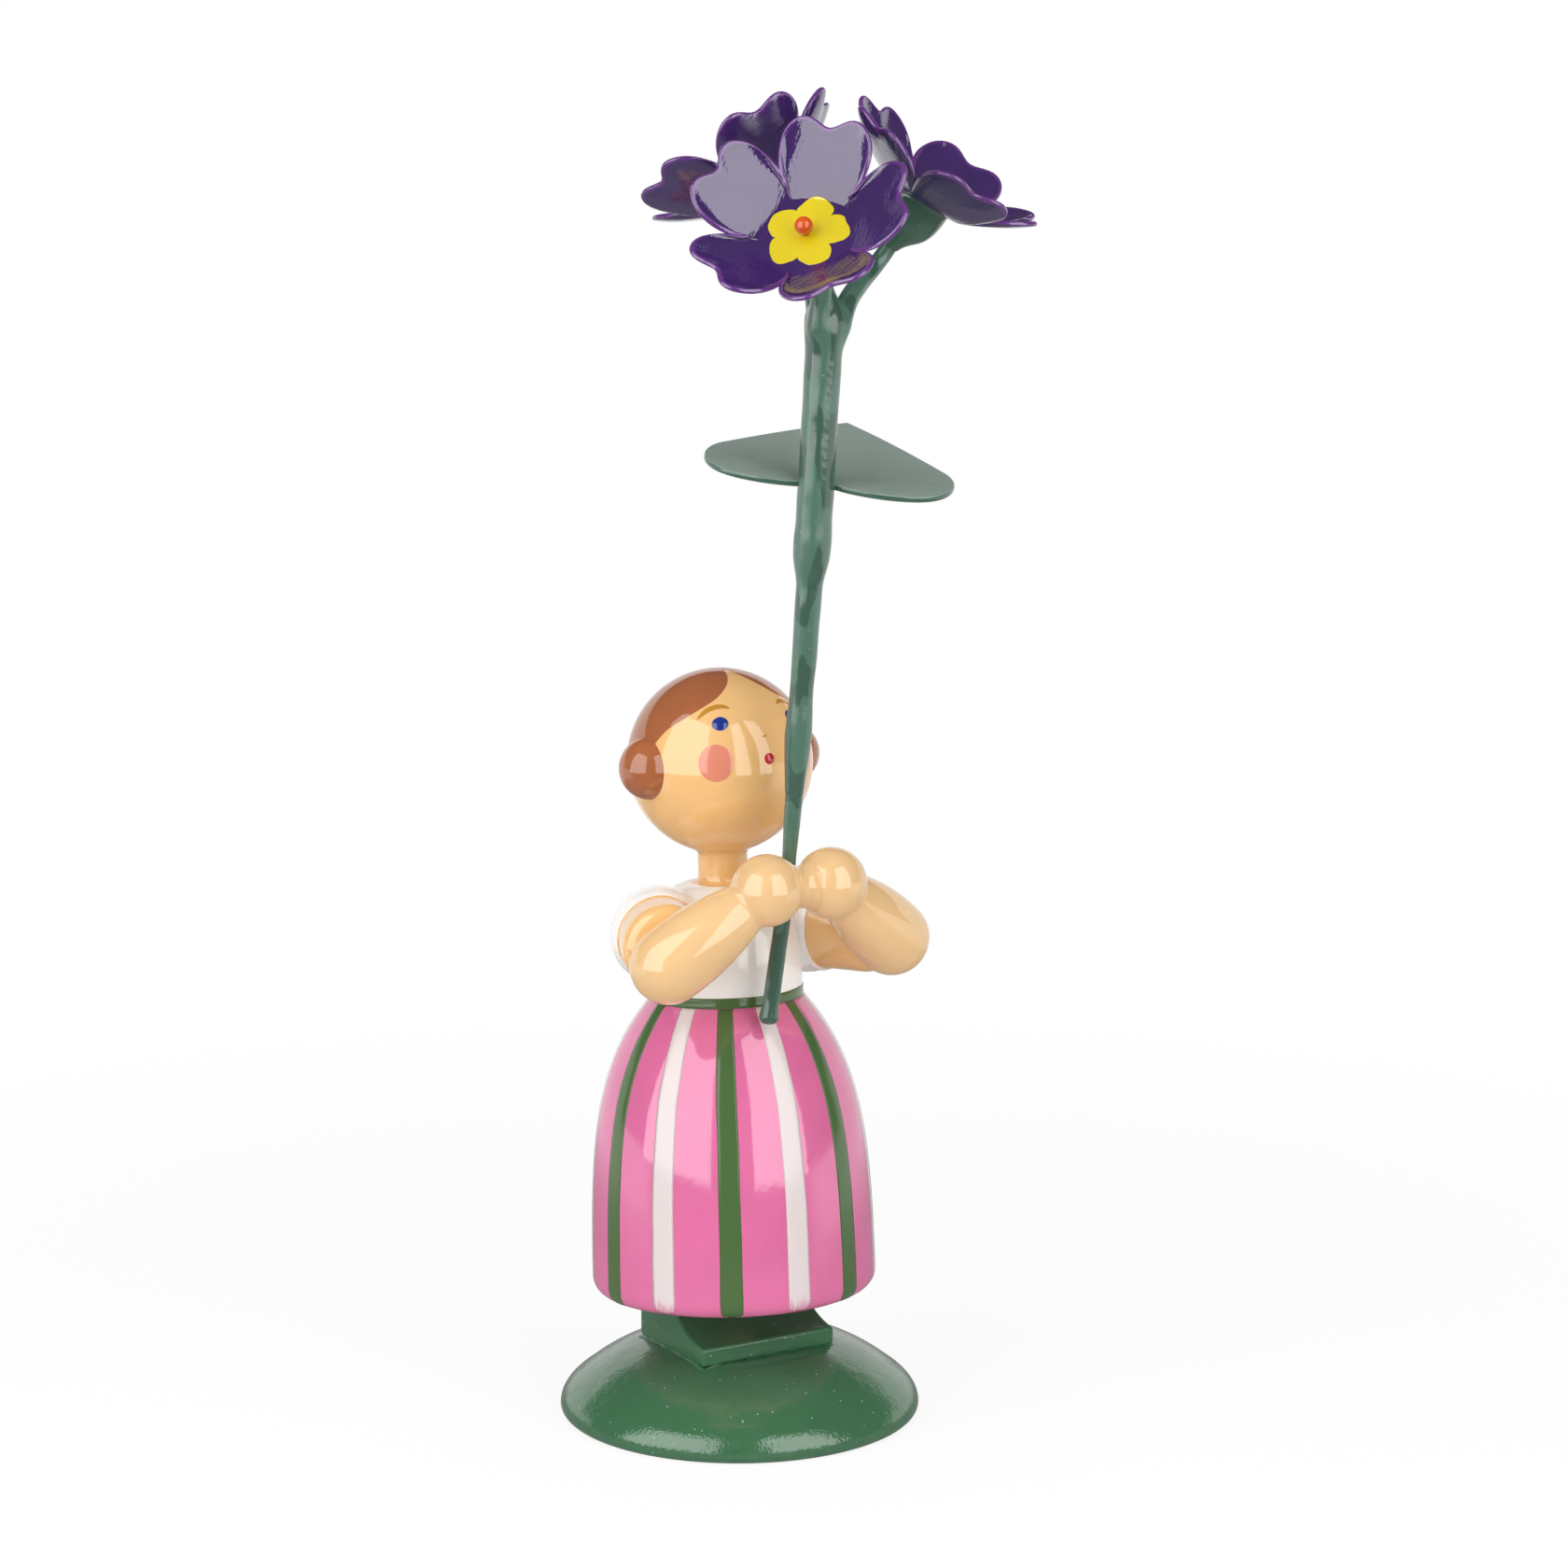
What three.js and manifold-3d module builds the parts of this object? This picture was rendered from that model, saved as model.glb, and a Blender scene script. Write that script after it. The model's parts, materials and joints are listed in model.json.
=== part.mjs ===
// Turned wooden flower girl on a domed plinth, holding a tall three-blossom flower.
// Millimetres, +Z up. The origin is the middle of the plinth's underside, and the girl
// faces -Y, so her left hand is on the +X side.
import * as THREE from 'three';
import { mergeVertices } from 'three/addons/utils/BufferGeometryUtils.js';
import Module from 'manifold-3d';

// Plinth
const BASE_DIAMETER = 33;
const BASE_HEIGHT = 6.5;
const BASE_RIM_HEIGHT = 1.5;
const BASE_SEAT_DIAMETER = 16.8;
const BASE_DOME_BULGE = 0.55;
const BASE_EDGE_ROUND = 0.5;

// Shoe block
const SHOE_WIDTH = 13.8;
const SHOE_DEPTH = 11.7;
const SHOE_HEIGHT = 4.7;
const SHOE_TOE_HEIGHT = 1.65;
const SHOE_LEG_DEPTH = 6.2;
const SHOE_INSTEP_HOLLOW = 1.2;
const SHOE_FORWARD = 0.4;

// Dowel that pins the skirt to the shoe block
const DOWEL_DIAMETER = 4;
const DOWEL_FLOOR = 0.8;
const DOWEL_IN_SKIRT = 8;

// How the girl stands on the plinth: set a little off its middle and leaning back
const GIRL_ASIDE = 0.35;
const GIRL_BACK = 0.3;
const LEAN_BACK_DEGREES = 2.8;

// Skirt
const SKIRT_DIAMETER = 25.9;
const SKIRT_HEIGHT = 27.1;
const SKIRT_HEM_ROUND = 1.6;
const SKIRT_FALL_DIAMETER = 25.6;
const SKIRT_FALL_HEIGHT = 14.6;
const SKIRT_SHOULDER_DIAMETER = 24.2;
const SKIRT_SHOULDER_HEIGHT = 21.2;
const SKIRT_WAIST_DIAMETER = 14;

// Torso
const TORSO_WAIST_DIAMETER = 13.8;
const TORSO_CHEST_DIAMETER = 14.4;
const TORSO_HEIGHT = 10.4;
const TORSO_SPIGOT_DIAMETER = 5;
const TORSO_SPIGOT_LENGTH = 6;

// Neck
const NECK_DIAMETER = 4.5;
const NECK_GAP_HEIGHT = 2.9;
const NECK_IN_TORSO = 4;
const NECK_IN_HEAD = 3.6;

// Head and hair buns
const HEAD_DIAMETER = 16.8;
const BUN_DIAMETER = 5.7;
const BUN_SINK = 0.9;
const HEAD_TURN_DEGREES = 4;

// Upper arms: a puffed sleeve with the bare elbow standing out of its end, turned in one
// piece. The axis turns outward from straight ahead, and the pair sits a little askew.
const SLEEVE_DIAMETER = 8.6;
const SLEEVE_END_DIAMETER = 8.3;
const SLEEVE_END_ROUND = 0.9;
const SLEEVE_SHOULDER_DIAMETER = 6.4;
const SLEEVE_LENGTH = 5.8;
const SLEEVE_RAISE = 0.85;
const SLEEVE_ASKEW = 0.35;
const SLEEVE_TURN_DEGREES = 24;
const ELBOW_STUB_DIAMETER = 7.7;
const ELBOW_STUB_LENGTH = 3.8;
const ELBOW_STUB_ROUND = 0.5;

// Forearms with ball hands
const ELBOW_SPREAD = 11.5;
const ELBOW_FORWARD = 10.1;
const ELBOW_HEIGHT = 32.5;
const ELBOW_DIAMETER = 6.9;
const FOREARM_MIDDLE_DIAMETER = 6.5;
const WRIST_DIAMETER = 4.6;
const HAND_DIAMETER = 6.4;
const HAND_FORWARD = 13.4;
const HAND_HEIGHT = 38.7;
const HAND_PARTING = 0.14;
const FOREARM_FLAT = 0.5;

// Flower stem: a wire, wrapped from above the hands upward
const WIRE_DIAMETER = 1.25;
const STEM_FOOT_SIDE = 0.8;
const STEM_FOOT_HEIGHT = 25.9;
const STEM_TOP_FORWARD = 20.3;
const STEM_TOP_HEIGHT = 89.2;
const STEM_BOW = 0.37;
const WRAP_START_HEIGHT = 47.2;
const WRAP_START_LENGTH = 4;
const WRAP_LOWER_DIAMETER = 2.15;
const WRAP_STEP_HEIGHT = 65.2;
const WRAP_STEP_LENGTH = 3;
const WRAP_UPPER_DIAMETER = 3.05;
const WRAP_FORK_WALL = 0.25;
const WRAP_FORK_LENGTH = 3.6;
const WIRE_IN_WRAP = 26;

// Leaf
const LEAF_ABOVE_WRAP_START = 26.9;
const LEAF_WIDTH = 21.5;
const LEAF_LENGTH = 17.8;
const LEAF_THICKNESS = 0.6;
const LEAF_TURN_DEGREES = 39;
const LEAF_RISE_DEGREES = 14.5;
const LEAF_ROLL_DEGREES = 9.5;
const LEAF_ASIDE = 0.6;
const LEAF_BACK = 0.2;

// Blossoms, their stalks, cups and pins
const STALK_DIAMETER = 1.35;
const STALK_PARTING = 0.12;
const STALK_START_DEGREES = -150;
const STALK_IN_WRAP = 3;
const STALK_LEAN = 0.5;
const CUP_LENGTH = 4.8;
const CUP_TOP_DIAMETER = 5.6;
const CUP_FOOT_DIAMETER = 2.2;
const CUP_FOOT_FLARE = 0.2;
const CUP_STALK_DEPTH = 1.6;
const STALK_SLACK = 0.16;
const BLOSSOM_DIAMETER = 19.2;
const BLOSSOM_FLOOR_DIAMETER = 6.6;
const BLOSSOM_DEPTH = 4;
const PETAL_CUPPING = 0.35;
const PETAL_LOBE_SPREAD = 0.15;
const BLOSSOM_THICKNESS = 0.6;
const BLOSSOM_CLEFT_DIAMETER = 9.6;
const BLOSSOM_NOTCH = 1.3;
const PETALS = 5;
const PIN_HEAD_DIAMETER = 1.6;
const PIN_SHAFT_DIAMETER = 0.7;
const PIN_LENGTH = 2.2;

// Where each blossom's foot stands off the top of the stem, and how it is turned
const FRONT_BLOSSOM_ASIDE = -4.9;
const FRONT_BLOSSOM_FORWARD = 5.3;
const FRONT_BLOSSOM_ABOVE = 6.2;
const LEFT_BLOSSOM_ASIDE = 9.6;
const LEFT_BLOSSOM_FORWARD = 0.3;
const LEFT_BLOSSOM_ABOVE = 9.1;
const RIGHT_BLOSSOM_ASIDE = -1.7;
const RIGHT_BLOSSOM_FORWARD = -7.7;
const RIGHT_BLOSSOM_ABOVE = 10.1;
const BLOSSOMS = [
  {
    name: 'front',
    aside: FRONT_BLOSSOM_ASIDE,
    forward: FRONT_BLOSSOM_FORWARD,
    above: FRONT_BLOSSOM_ABOVE,
    turn: -45,
    rise: 38,
    spin: 80,
  },
  {
    name: 'left',
    aside: LEFT_BLOSSOM_ASIDE,
    forward: LEFT_BLOSSOM_FORWARD,
    above: LEFT_BLOSSOM_ABOVE,
    turn: 46,
    rise: 54,
    spin: 69,
  },
  {
    name: 'right',
    aside: RIGHT_BLOSSOM_ASIDE,
    forward: RIGHT_BLOSSOM_FORWARD,
    above: RIGHT_BLOSSOM_ABOVE,
    turn: -150,
    rise: 55,
    spin: 119,
  },
];

// Fits between pieces
const PEG_CLEARANCE = 0.1;
const GLUE_LINE = 0.1;
const SEAT_GAP = 0.3;

const SIDES = [
  { name: 'right', sign: -1 },
  { name: 'left', sign: 1 },
];
const COLOURS = {
  plinth: 0x3f7a4c,
  shoes: 0x3d6f4a,
  skirt: 0xd8509c,
  blouse: 0xefe8e2,
  skin: 0xefc48a,
  hair: 0x9c5a3c,
  stem: 0x47755f,
  petal: 0x3f1f6c,
  pin: 0xe0641e,
  bare: 0xd9b98a,
  leaf: 0x55736a,
};

const wasm = await Module();
wasm.setup();

// Geometry helpers

function weld(geometry) {
  const bare = geometry.clone();
  bare.deleteAttribute('normal');
  bare.deleteAttribute('uv');
  const merged = mergeVertices(bare, 1e-5);
  const source = merged.index.array;
  const kept = [];
  for (let i = 0; i < source.length; i += 3) {
    const [a, b, c] = [source[i], source[i + 1], source[i + 2]];
    if (a !== b && b !== c && c !== a) kept.push(a, b, c);
  }
  merged.setIndex(kept);
  merged.computeVertexNormals();
  return merged;
}

function toSolid(geometry) {
  const welded = weld(geometry);
  return new wasm.Manifold(new wasm.Mesh({
    numProp: 3,
    vertProperties: new Float32Array(welded.attributes.position.array),
    triVerts: new Uint32Array(welded.index.array),
  }));
}

function toGeometry(solid) {
  const mesh = solid.getMesh();
  const geometry = new THREE.BufferGeometry();
  geometry.setAttribute('position', new THREE.BufferAttribute(new Float32Array(mesh.vertProperties), 3));
  geometry.setIndex(new THREE.BufferAttribute(new Uint32Array(mesh.triVerts), 1));
  geometry.computeVertexNormals();
  return geometry;
}

function cut(geometry, ...tools) {
  const body = tools.reduce((left, tool) => left.subtract(toSolid(tool)), toSolid(geometry));
  return toGeometry(body);
}

function turned(outline, sides, steps = 8) {
  const lathe = new THREE.LatheGeometry(outline.getPoints(steps), sides);
  return weld(lathe.rotateX(Math.PI / 2));
}

function radians(degrees) {
  return THREE.MathUtils.degToRad(degrees);
}

// Turns a piece lying along +Z so that it lies along a direction, and moves its foot
function aimed(geometry, foot, direction) {
  const turn = new THREE.Quaternion().setFromUnitVectors(new THREE.Vector3(0, 0, 1), direction);
  return geometry.clone().applyQuaternion(turn).translate(foot.x, foot.y, foot.z);
}

// Closed skin over rings of equal point count, capped at both ends
function loft(rings) {
  const count = rings[0].length;
  const positions = [];
  const index = [];
  rings.forEach((ring) => ring.forEach((point) => positions.push(point.x, point.y, point.z)));
  for (let r = 0; r < rings.length - 1; r += 1) {
    for (let i = 0; i < count; i += 1) {
      const a = r * count + i;
      const b = r * count + ((i + 1) % count);
      index.push(a, b, b + count, a, b + count, a + count);
    }
  }
  const last = (rings.length - 1) * count;
  for (let i = 1; i < count - 1; i += 1) {
    index.push(0, i + 1, i);
    index.push(last, last + i, last + i + 1);
  }
  const geometry = new THREE.BufferGeometry();
  geometry.setAttribute('position', new THREE.Float32BufferAttribute(positions, 3));
  geometry.setIndex(index);
  return weld(geometry);
}

function rod(curve, diameter, sides, steps) {
  const section = new THREE.Shape();
  section.absarc(0, 0, diameter / 2, 0, Math.PI * 2);
  const options = { steps, curveSegments: sides, bevelEnabled: false, extrudePath: curve };
  return weld(new THREE.ExtrudeGeometry(section, options));
}

function piece(name, geometry, colour, roughness = 0.35, metalness = 0) {
  const material = new THREE.MeshStandardMaterial({ color: colour, roughness, metalness });
  const mesh = new THREE.Mesh(geometry, material);
  mesh.name = name;
  return mesh;
}

// Plinth, shoe block and dowel

const LEAN = radians(LEAN_BACK_DEGREES);
const DOWEL_IN_SHOE = SHOE_HEIGHT - DOWEL_FLOOR;
const DOWEL_SLACK = PEG_CLEARANCE + DOWEL_IN_SHOE * Math.tan(LEAN);
const SHOE_GLUE = GLUE_LINE + (SHOE_DEPTH / 2) * Math.tan(LEAN);

function plinth() {
  const rim = BASE_DIAMETER / 2;
  const seat = BASE_SEAT_DIAMETER / 2;
  const slope = new THREE.Vector2(seat - rim, BASE_HEIGHT - BASE_RIM_HEIGHT);
  const out = new THREE.Vector2(slope.y, -slope.x).normalize().multiplyScalar(2 * BASE_DOME_BULGE);
  const outline = new THREE.Path();
  outline.moveTo(0, 0);
  outline.lineTo(rim - BASE_EDGE_ROUND, 0);
  outline.quadraticCurveTo(rim, 0, rim, BASE_EDGE_ROUND);
  outline.lineTo(rim, BASE_RIM_HEIGHT);
  outline.quadraticCurveTo(
    rim + slope.x / 2 + out.x,
    BASE_RIM_HEIGHT + slope.y / 2 + out.y,
    seat,
    BASE_HEIGHT,
  );
  outline.lineTo(0, BASE_HEIGHT);
  return turned(outline, 36, 6);
}

function shoeBlock() {
  const toe = -SHOE_DEPTH / 2;
  const heel = SHOE_DEPTH / 2;
  const shin = heel - SHOE_LEG_DEPTH;
  const side = new THREE.Shape();
  side.moveTo(heel, 0);
  side.lineTo(heel, SHOE_HEIGHT);
  side.lineTo(shin, SHOE_HEIGHT);
  side.quadraticCurveTo(
    (shin + toe) / 2 + SHOE_INSTEP_HOLLOW,
    (SHOE_HEIGHT + SHOE_TOE_HEIGHT) / 2 - SHOE_INSTEP_HOLLOW,
    toe,
    SHOE_TOE_HEIGHT,
  );
  side.lineTo(toe, 0);
  const options = { depth: SHOE_WIDTH, bevelEnabled: false, curveSegments: 8 };
  const block = new THREE.ExtrudeGeometry(side, options);
  block.translate(0, 0, -SHOE_WIDTH / 2);
  block.applyMatrix4(new THREE.Matrix4().makeBasis(
    new THREE.Vector3(0, 1, 0),
    new THREE.Vector3(0, 0, 1),
    new THREE.Vector3(1, 0, 0),
  ));
  block.translate(0, -SHOE_FORWARD, 0);
  const hole = new THREE.CylinderGeometry(
    DOWEL_DIAMETER / 2 + DOWEL_SLACK,
    DOWEL_DIAMETER / 2 + DOWEL_SLACK,
    2 * DOWEL_IN_SHOE,
    24,
  );
  hole.rotateX(Math.PI / 2).translate(0, 0, SHOE_HEIGHT);
  return cut(block, hole);
}

function standDowel() {
  const length = DOWEL_IN_SHOE + DOWEL_IN_SKIRT;
  const dowel = new THREE.CylinderGeometry(DOWEL_DIAMETER / 2, DOWEL_DIAMETER / 2, length, 24);
  return weld(dowel.rotateX(Math.PI / 2).translate(0, 0, length / 2 - DOWEL_IN_SHOE));
}

// Skirt, torso, neck, head and buns, in the girl's own frame from the hem up

const SKIRT_SIDE = new THREE.CubicBezierCurve(
  new THREE.Vector2(SKIRT_DIAMETER / 2, SKIRT_HEM_ROUND),
  new THREE.Vector2(SKIRT_FALL_DIAMETER / 2, SKIRT_FALL_HEIGHT),
  new THREE.Vector2(SKIRT_SHOULDER_DIAMETER / 2, SKIRT_SHOULDER_HEIGHT),
  new THREE.Vector2(SKIRT_WAIST_DIAMETER / 2, SKIRT_HEIGHT),
);

// Share of the way along a rising curve at which it reaches a height
function shareAtHeight(heightAt, height) {
  let low = 0;
  let high = 1;
  for (let i = 0; i < 40; i += 1) {
    const middle = (low + high) / 2;
    if (heightAt(middle) < height) low = middle;
    else high = middle;
  }
  return low;
}

function skirt() {
  const hem = SKIRT_DIAMETER / 2;
  const dowelHole = DOWEL_DIAMETER / 2 + PEG_CLEARANCE;
  const spigotHole = TORSO_SPIGOT_DIAMETER / 2 + PEG_CLEARANCE;
  const spigotFloor = SKIRT_HEIGHT - TORSO_SPIGOT_LENGTH - PEG_CLEARANCE;
  const outline = new THREE.Path();
  outline.moveTo(0, DOWEL_IN_SKIRT + PEG_CLEARANCE);
  outline.lineTo(dowelHole, DOWEL_IN_SKIRT + PEG_CLEARANCE);
  outline.lineTo(dowelHole, 0);
  outline.lineTo(hem - SKIRT_HEM_ROUND, 0);
  outline.quadraticCurveTo(hem, 0, hem, SKIRT_HEM_ROUND);
  SKIRT_SIDE.getPoints(9).slice(1).forEach((spot) => outline.lineTo(spot.x, spot.y));
  outline.lineTo(spigotHole, SKIRT_HEIGHT);
  outline.lineTo(spigotHole, spigotFloor);
  outline.lineTo(0, spigotFloor);
  return turned(outline, 40, 6);
}

const TORSO_FOOT = SKIRT_HEIGHT + GLUE_LINE;
const TORSO_TOP = TORSO_FOOT + TORSO_HEIGHT;

function torso(swell = 0, solid = false) {
  const neckHole = NECK_DIAMETER / 2 + PEG_CLEARANCE;
  const spigot = TORSO_SPIGOT_DIAMETER / 2;
  const outline = new THREE.Path();
  if (solid) {
    outline.moveTo(0, TORSO_FOOT - swell);
  } else {
    outline.moveTo(0, TORSO_FOOT - TORSO_SPIGOT_LENGTH);
    outline.lineTo(spigot, TORSO_FOOT - TORSO_SPIGOT_LENGTH);
    outline.lineTo(spigot, TORSO_FOOT);
  }
  outline.lineTo(TORSO_WAIST_DIAMETER / 2 + swell, TORSO_FOOT - swell);
  outline.bezierCurveTo(
    TORSO_CHEST_DIAMETER / 2 + swell,
    TORSO_FOOT + TORSO_HEIGHT / 2,
    TORSO_CHEST_DIAMETER / 2 + swell,
    TORSO_TOP + swell,
    neckHole + swell,
    TORSO_TOP + swell,
  );
  if (solid) {
    outline.lineTo(0, TORSO_TOP + swell);
  } else {
    outline.lineTo(neckHole, TORSO_TOP - NECK_IN_TORSO - PEG_CLEARANCE);
    outline.lineTo(0, TORSO_TOP - NECK_IN_TORSO - PEG_CLEARANCE);
  }
  return turned(outline, 30, 8);
}

const HEAD_RADIUS = HEAD_DIAMETER / 2;
const HEAD_SINK = HEAD_RADIUS - Math.sqrt(HEAD_RADIUS ** 2 - (NECK_DIAMETER / 2 + PEG_CLEARANCE) ** 2);
const HEAD_CENTRE = TORSO_TOP + NECK_GAP_HEIGHT + HEAD_RADIUS - HEAD_SINK;

function neckPeg() {
  const length = NECK_IN_TORSO + NECK_GAP_HEIGHT + NECK_IN_HEAD;
  const peg = new THREE.CylinderGeometry(NECK_DIAMETER / 2, NECK_DIAMETER / 2, length, 24);
  return weld(peg.rotateX(Math.PI / 2).translate(0, 0, TORSO_TOP - NECK_IN_TORSO + length / 2));
}

function head() {
  const hole = NECK_DIAMETER / 2 + PEG_CLEARANCE;
  const holeTop = TORSO_TOP + NECK_GAP_HEIGHT + NECK_IN_HEAD + PEG_CLEARANCE;
  const outline = new THREE.Path();
  outline.moveTo(0, holeTop);
  outline.lineTo(hole, holeTop);
  outline.absarc(0, HEAD_CENTRE, HEAD_RADIUS, -Math.acos(hole / HEAD_RADIUS), Math.PI / 2);
  return turned(outline, 32, 8);
}

function bun(sign) {
  const ball = new THREE.SphereGeometry(BUN_DIAMETER / 2, 18, 11);
  ball.translate(sign * (HEAD_RADIUS - BUN_SINK), 0, HEAD_CENTRE).rotateZ(radians(HEAD_TURN_DEGREES));
  const seat = new THREE.SphereGeometry(HEAD_RADIUS + SEAT_GAP, 40, 28);
  seat.translate(0, 0, HEAD_CENTRE);
  return cut(ball, seat);
}

// Arms

function elbowPoint(sign) {
  return new THREE.Vector3(sign * ELBOW_SPREAD, -ELBOW_FORWARD, ELBOW_HEIGHT);
}

function handPoint(sign) {
  return new THREE.Vector3(sign * (HAND_DIAMETER + HAND_PARTING) / 2, -HAND_FORWARD, HAND_HEIGHT);
}

function sleeveAxis(sign) {
  const turn = radians(SLEEVE_TURN_DEGREES);
  return new THREE.Vector3(sign * Math.sin(turn), -Math.cos(turn), 0);
}

// Middle of the forearm's flat, where it is glued to the end of the upper arm
function elbowFlat(sign) {
  const back = ELBOW_DIAMETER / 2 - FOREARM_FLAT;
  return elbowPoint(sign).addScaledVector(sleeveAxis(sign), -back);
}

// Control radius that carries a quadratic side through a given middle radius
function bulgeControl(start, middle, end) {
  return (4 * middle - start - end) / 2;
}

function sleeve(sign) {
  const shoulder = SLEEVE_SHOULDER_DIAMETER / 2;
  const cuff = SLEEVE_END_DIAMETER / 2;
  const stub = ELBOW_STUB_DIAMETER / 2;
  const length = SLEEVE_LENGTH + ELBOW_STUB_LENGTH;
  const outline = new THREE.Path();
  outline.moveTo(0, 0);
  outline.lineTo(shoulder, 0);
  outline.quadraticCurveTo(
    bulgeControl(shoulder, SLEEVE_DIAMETER / 2, cuff),
    (SLEEVE_LENGTH - SLEEVE_END_ROUND) / 2,
    cuff,
    SLEEVE_LENGTH - SLEEVE_END_ROUND,
  );
  outline.quadraticCurveTo(cuff, SLEEVE_LENGTH, stub, SLEEVE_LENGTH);
  outline.lineTo(stub, length - ELBOW_STUB_ROUND);
  outline.quadraticCurveTo(stub, length, stub - ELBOW_STUB_ROUND, length);
  outline.lineTo(0, length);
  const foot = elbowFlat(sign).addScaledVector(sleeveAxis(sign), -length);
  foot.z += SLEEVE_RAISE - sign * SLEEVE_ASKEW;
  const barrel = aimed(turned(outline, 20, 3), foot, sleeveAxis(sign));
  return cut(barrel, torso(SEAT_GAP, true));
}

function forearm(sign) {
  const elbow = elbowPoint(sign);
  const reach = handPoint(sign).sub(elbow);
  const length = reach.length();
  const ball = HAND_DIAMETER / 2;
  const wrist = WRIST_DIAMETER / 2;
  const wristAngle = Math.asin(wrist / ball);
  const outline = new THREE.Path();
  outline.absarc(0, 0, ELBOW_DIAMETER / 2, -Math.PI / 2, 0);
  outline.quadraticCurveTo(
    bulgeControl(ELBOW_DIAMETER / 2, FOREARM_MIDDLE_DIAMETER / 2, wrist),
    (length - ball * Math.cos(wristAngle)) / 2,
    wrist,
    length - ball * Math.cos(wristAngle),
  );
  outline.absarc(0, length, ball, wristAngle - Math.PI / 2, Math.PI / 2);
  const club = aimed(turned(outline, 20, 4), elbow, reach.normalize());
  const plane = new THREE.CylinderGeometry(ELBOW_DIAMETER, ELBOW_DIAMETER, ELBOW_DIAMETER, 24);
  plane.rotateX(Math.PI / 2).translate(0, 0, -ELBOW_DIAMETER / 2);
  const seat = elbowFlat(sign).addScaledVector(sleeveAxis(sign), GLUE_LINE);
  return cut(club, aimed(plane, seat, sleeveAxis(sign)));
}

// Flower stem

// The wire lies in the groove behind the two hands, and its foot rests on the skirt
const HOLD_REACH = (HAND_DIAMETER + WIRE_DIAMETER) / 2 + GLUE_LINE;
const HOLD_BEHIND = Math.sqrt(HOLD_REACH ** 2 - ((HAND_DIAMETER + HAND_PARTING) / 2) ** 2);
const STEM_HOLD = new THREE.Vector3(0, HOLD_BEHIND - HAND_FORWARD, HAND_HEIGHT);
const FOOT_SHARE = shareAtHeight((share) => SKIRT_SIDE.getPoint(share).y, STEM_FOOT_HEIGHT - WIRE_DIAMETER);
const FOOT_REACH = SKIRT_SIDE.getPoint(FOOT_SHARE).x + WIRE_DIAMETER / 2;
const STEM_FOOT = new THREE.Vector3(
  -STEM_FOOT_SIDE,
  -Math.sqrt(FOOT_REACH ** 2 - STEM_FOOT_SIDE ** 2),
  STEM_FOOT_HEIGHT,
);
const STEM_TOP = new THREE.Vector3(0, -STEM_TOP_FORWARD, STEM_TOP_HEIGHT);

function stemSpot(share) {
  const spot = STEM_HOLD.clone().lerp(STEM_TOP, share);
  spot.y -= STEM_BOW * Math.sin(Math.PI * share);
  return spot;
}

const STEM = new THREE.CatmullRomCurve3([
  STEM_FOOT,
  STEM_HOLD,
  stemSpot(0.3),
  stemSpot(0.55),
  stemSpot(0.8),
  STEM_TOP,
]);

function stemShare(height) {
  return shareAtHeight((share) => STEM.getPointAt(share).z, height);
}

function stemRun(from, to, count) {
  const spots = [];
  for (let i = 0; i <= count; i += 1) {
    spots.push(STEM.getPointAt(THREE.MathUtils.lerp(stemShare(from), stemShare(to), i / count)));
  }
  return new THREE.CatmullRomCurve3(spots);
}

const WIRE_TOP_HEIGHT = WRAP_START_HEIGHT + WIRE_IN_WRAP;

function stemWire() {
  return rod(stemRun(STEM_FOOT_HEIGHT, WIRE_TOP_HEIGHT, 8), WIRE_DIAMETER, 4, 18);
}

const STALK_RING = (STALK_DIAMETER + STALK_PARTING) / Math.sqrt(3);
const FORK_RADIUS = STALK_RING + STALK_DIAMETER / 2 + PEG_CLEARANCE + WRAP_FORK_WALL;

function wrapRadius(height) {
  const startEnd = WRAP_START_HEIGHT + WRAP_START_LENGTH;
  const start = THREE.MathUtils.smoothstep(height, WRAP_START_HEIGHT, startEnd);
  const lower = THREE.MathUtils.lerp(0.82, 1, start) * WRAP_LOWER_DIAMETER / 2;
  const stepEnd = WRAP_STEP_HEIGHT + WRAP_STEP_LENGTH;
  const step = THREE.MathUtils.smoothstep(height, WRAP_STEP_HEIGHT, stepEnd);
  const fork = THREE.MathUtils.smoothstep(height, STEM_TOP_HEIGHT - WRAP_FORK_LENGTH, STEM_TOP_HEIGHT);
  const upper = THREE.MathUtils.lerp(WRAP_UPPER_DIAMETER / 2, FORK_RADIUS, fork);
  return THREE.MathUtils.lerp(lower, upper, step);
}

function stemWrapSkin(swell = 0) {
  const count = 18;
  const around = 12;
  const from = stemShare(WRAP_START_HEIGHT);
  const rings = [];
  for (let k = 0; k <= count; k += 1) {
    const share = THREE.MathUtils.lerp(from, 1, k / count);
    const centre = STEM.getPointAt(share);
    const along = STEM.getTangentAt(share);
    const turn = new THREE.Quaternion().setFromUnitVectors(new THREE.Vector3(0, 0, 1), along);
    const ring = [];
    for (let i = 0; i < around; i += 1) {
      const angle = (i / around) * Math.PI * 2;
      const spoke = new THREE.Vector3(Math.cos(angle), Math.sin(angle), 0);
      spoke.multiplyScalar(wrapRadius(centre.z) + swell).applyQuaternion(turn);
      ring.push(centre.clone().add(spoke));
    }
    rings.push(ring);
  }
  return loft(rings);
}

function blossomAxis(blossom) {
  const turn = radians(blossom.turn);
  const rise = radians(blossom.rise);
  return new THREE.Vector3(
    Math.sin(turn) * Math.cos(rise),
    -Math.cos(turn) * Math.cos(rise),
    Math.sin(rise),
  );
}

function blossomFoot(blossom) {
  const offset = new THREE.Vector3(blossom.aside, -blossom.forward, blossom.above);
  return STEM_TOP.clone().add(offset);
}

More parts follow.
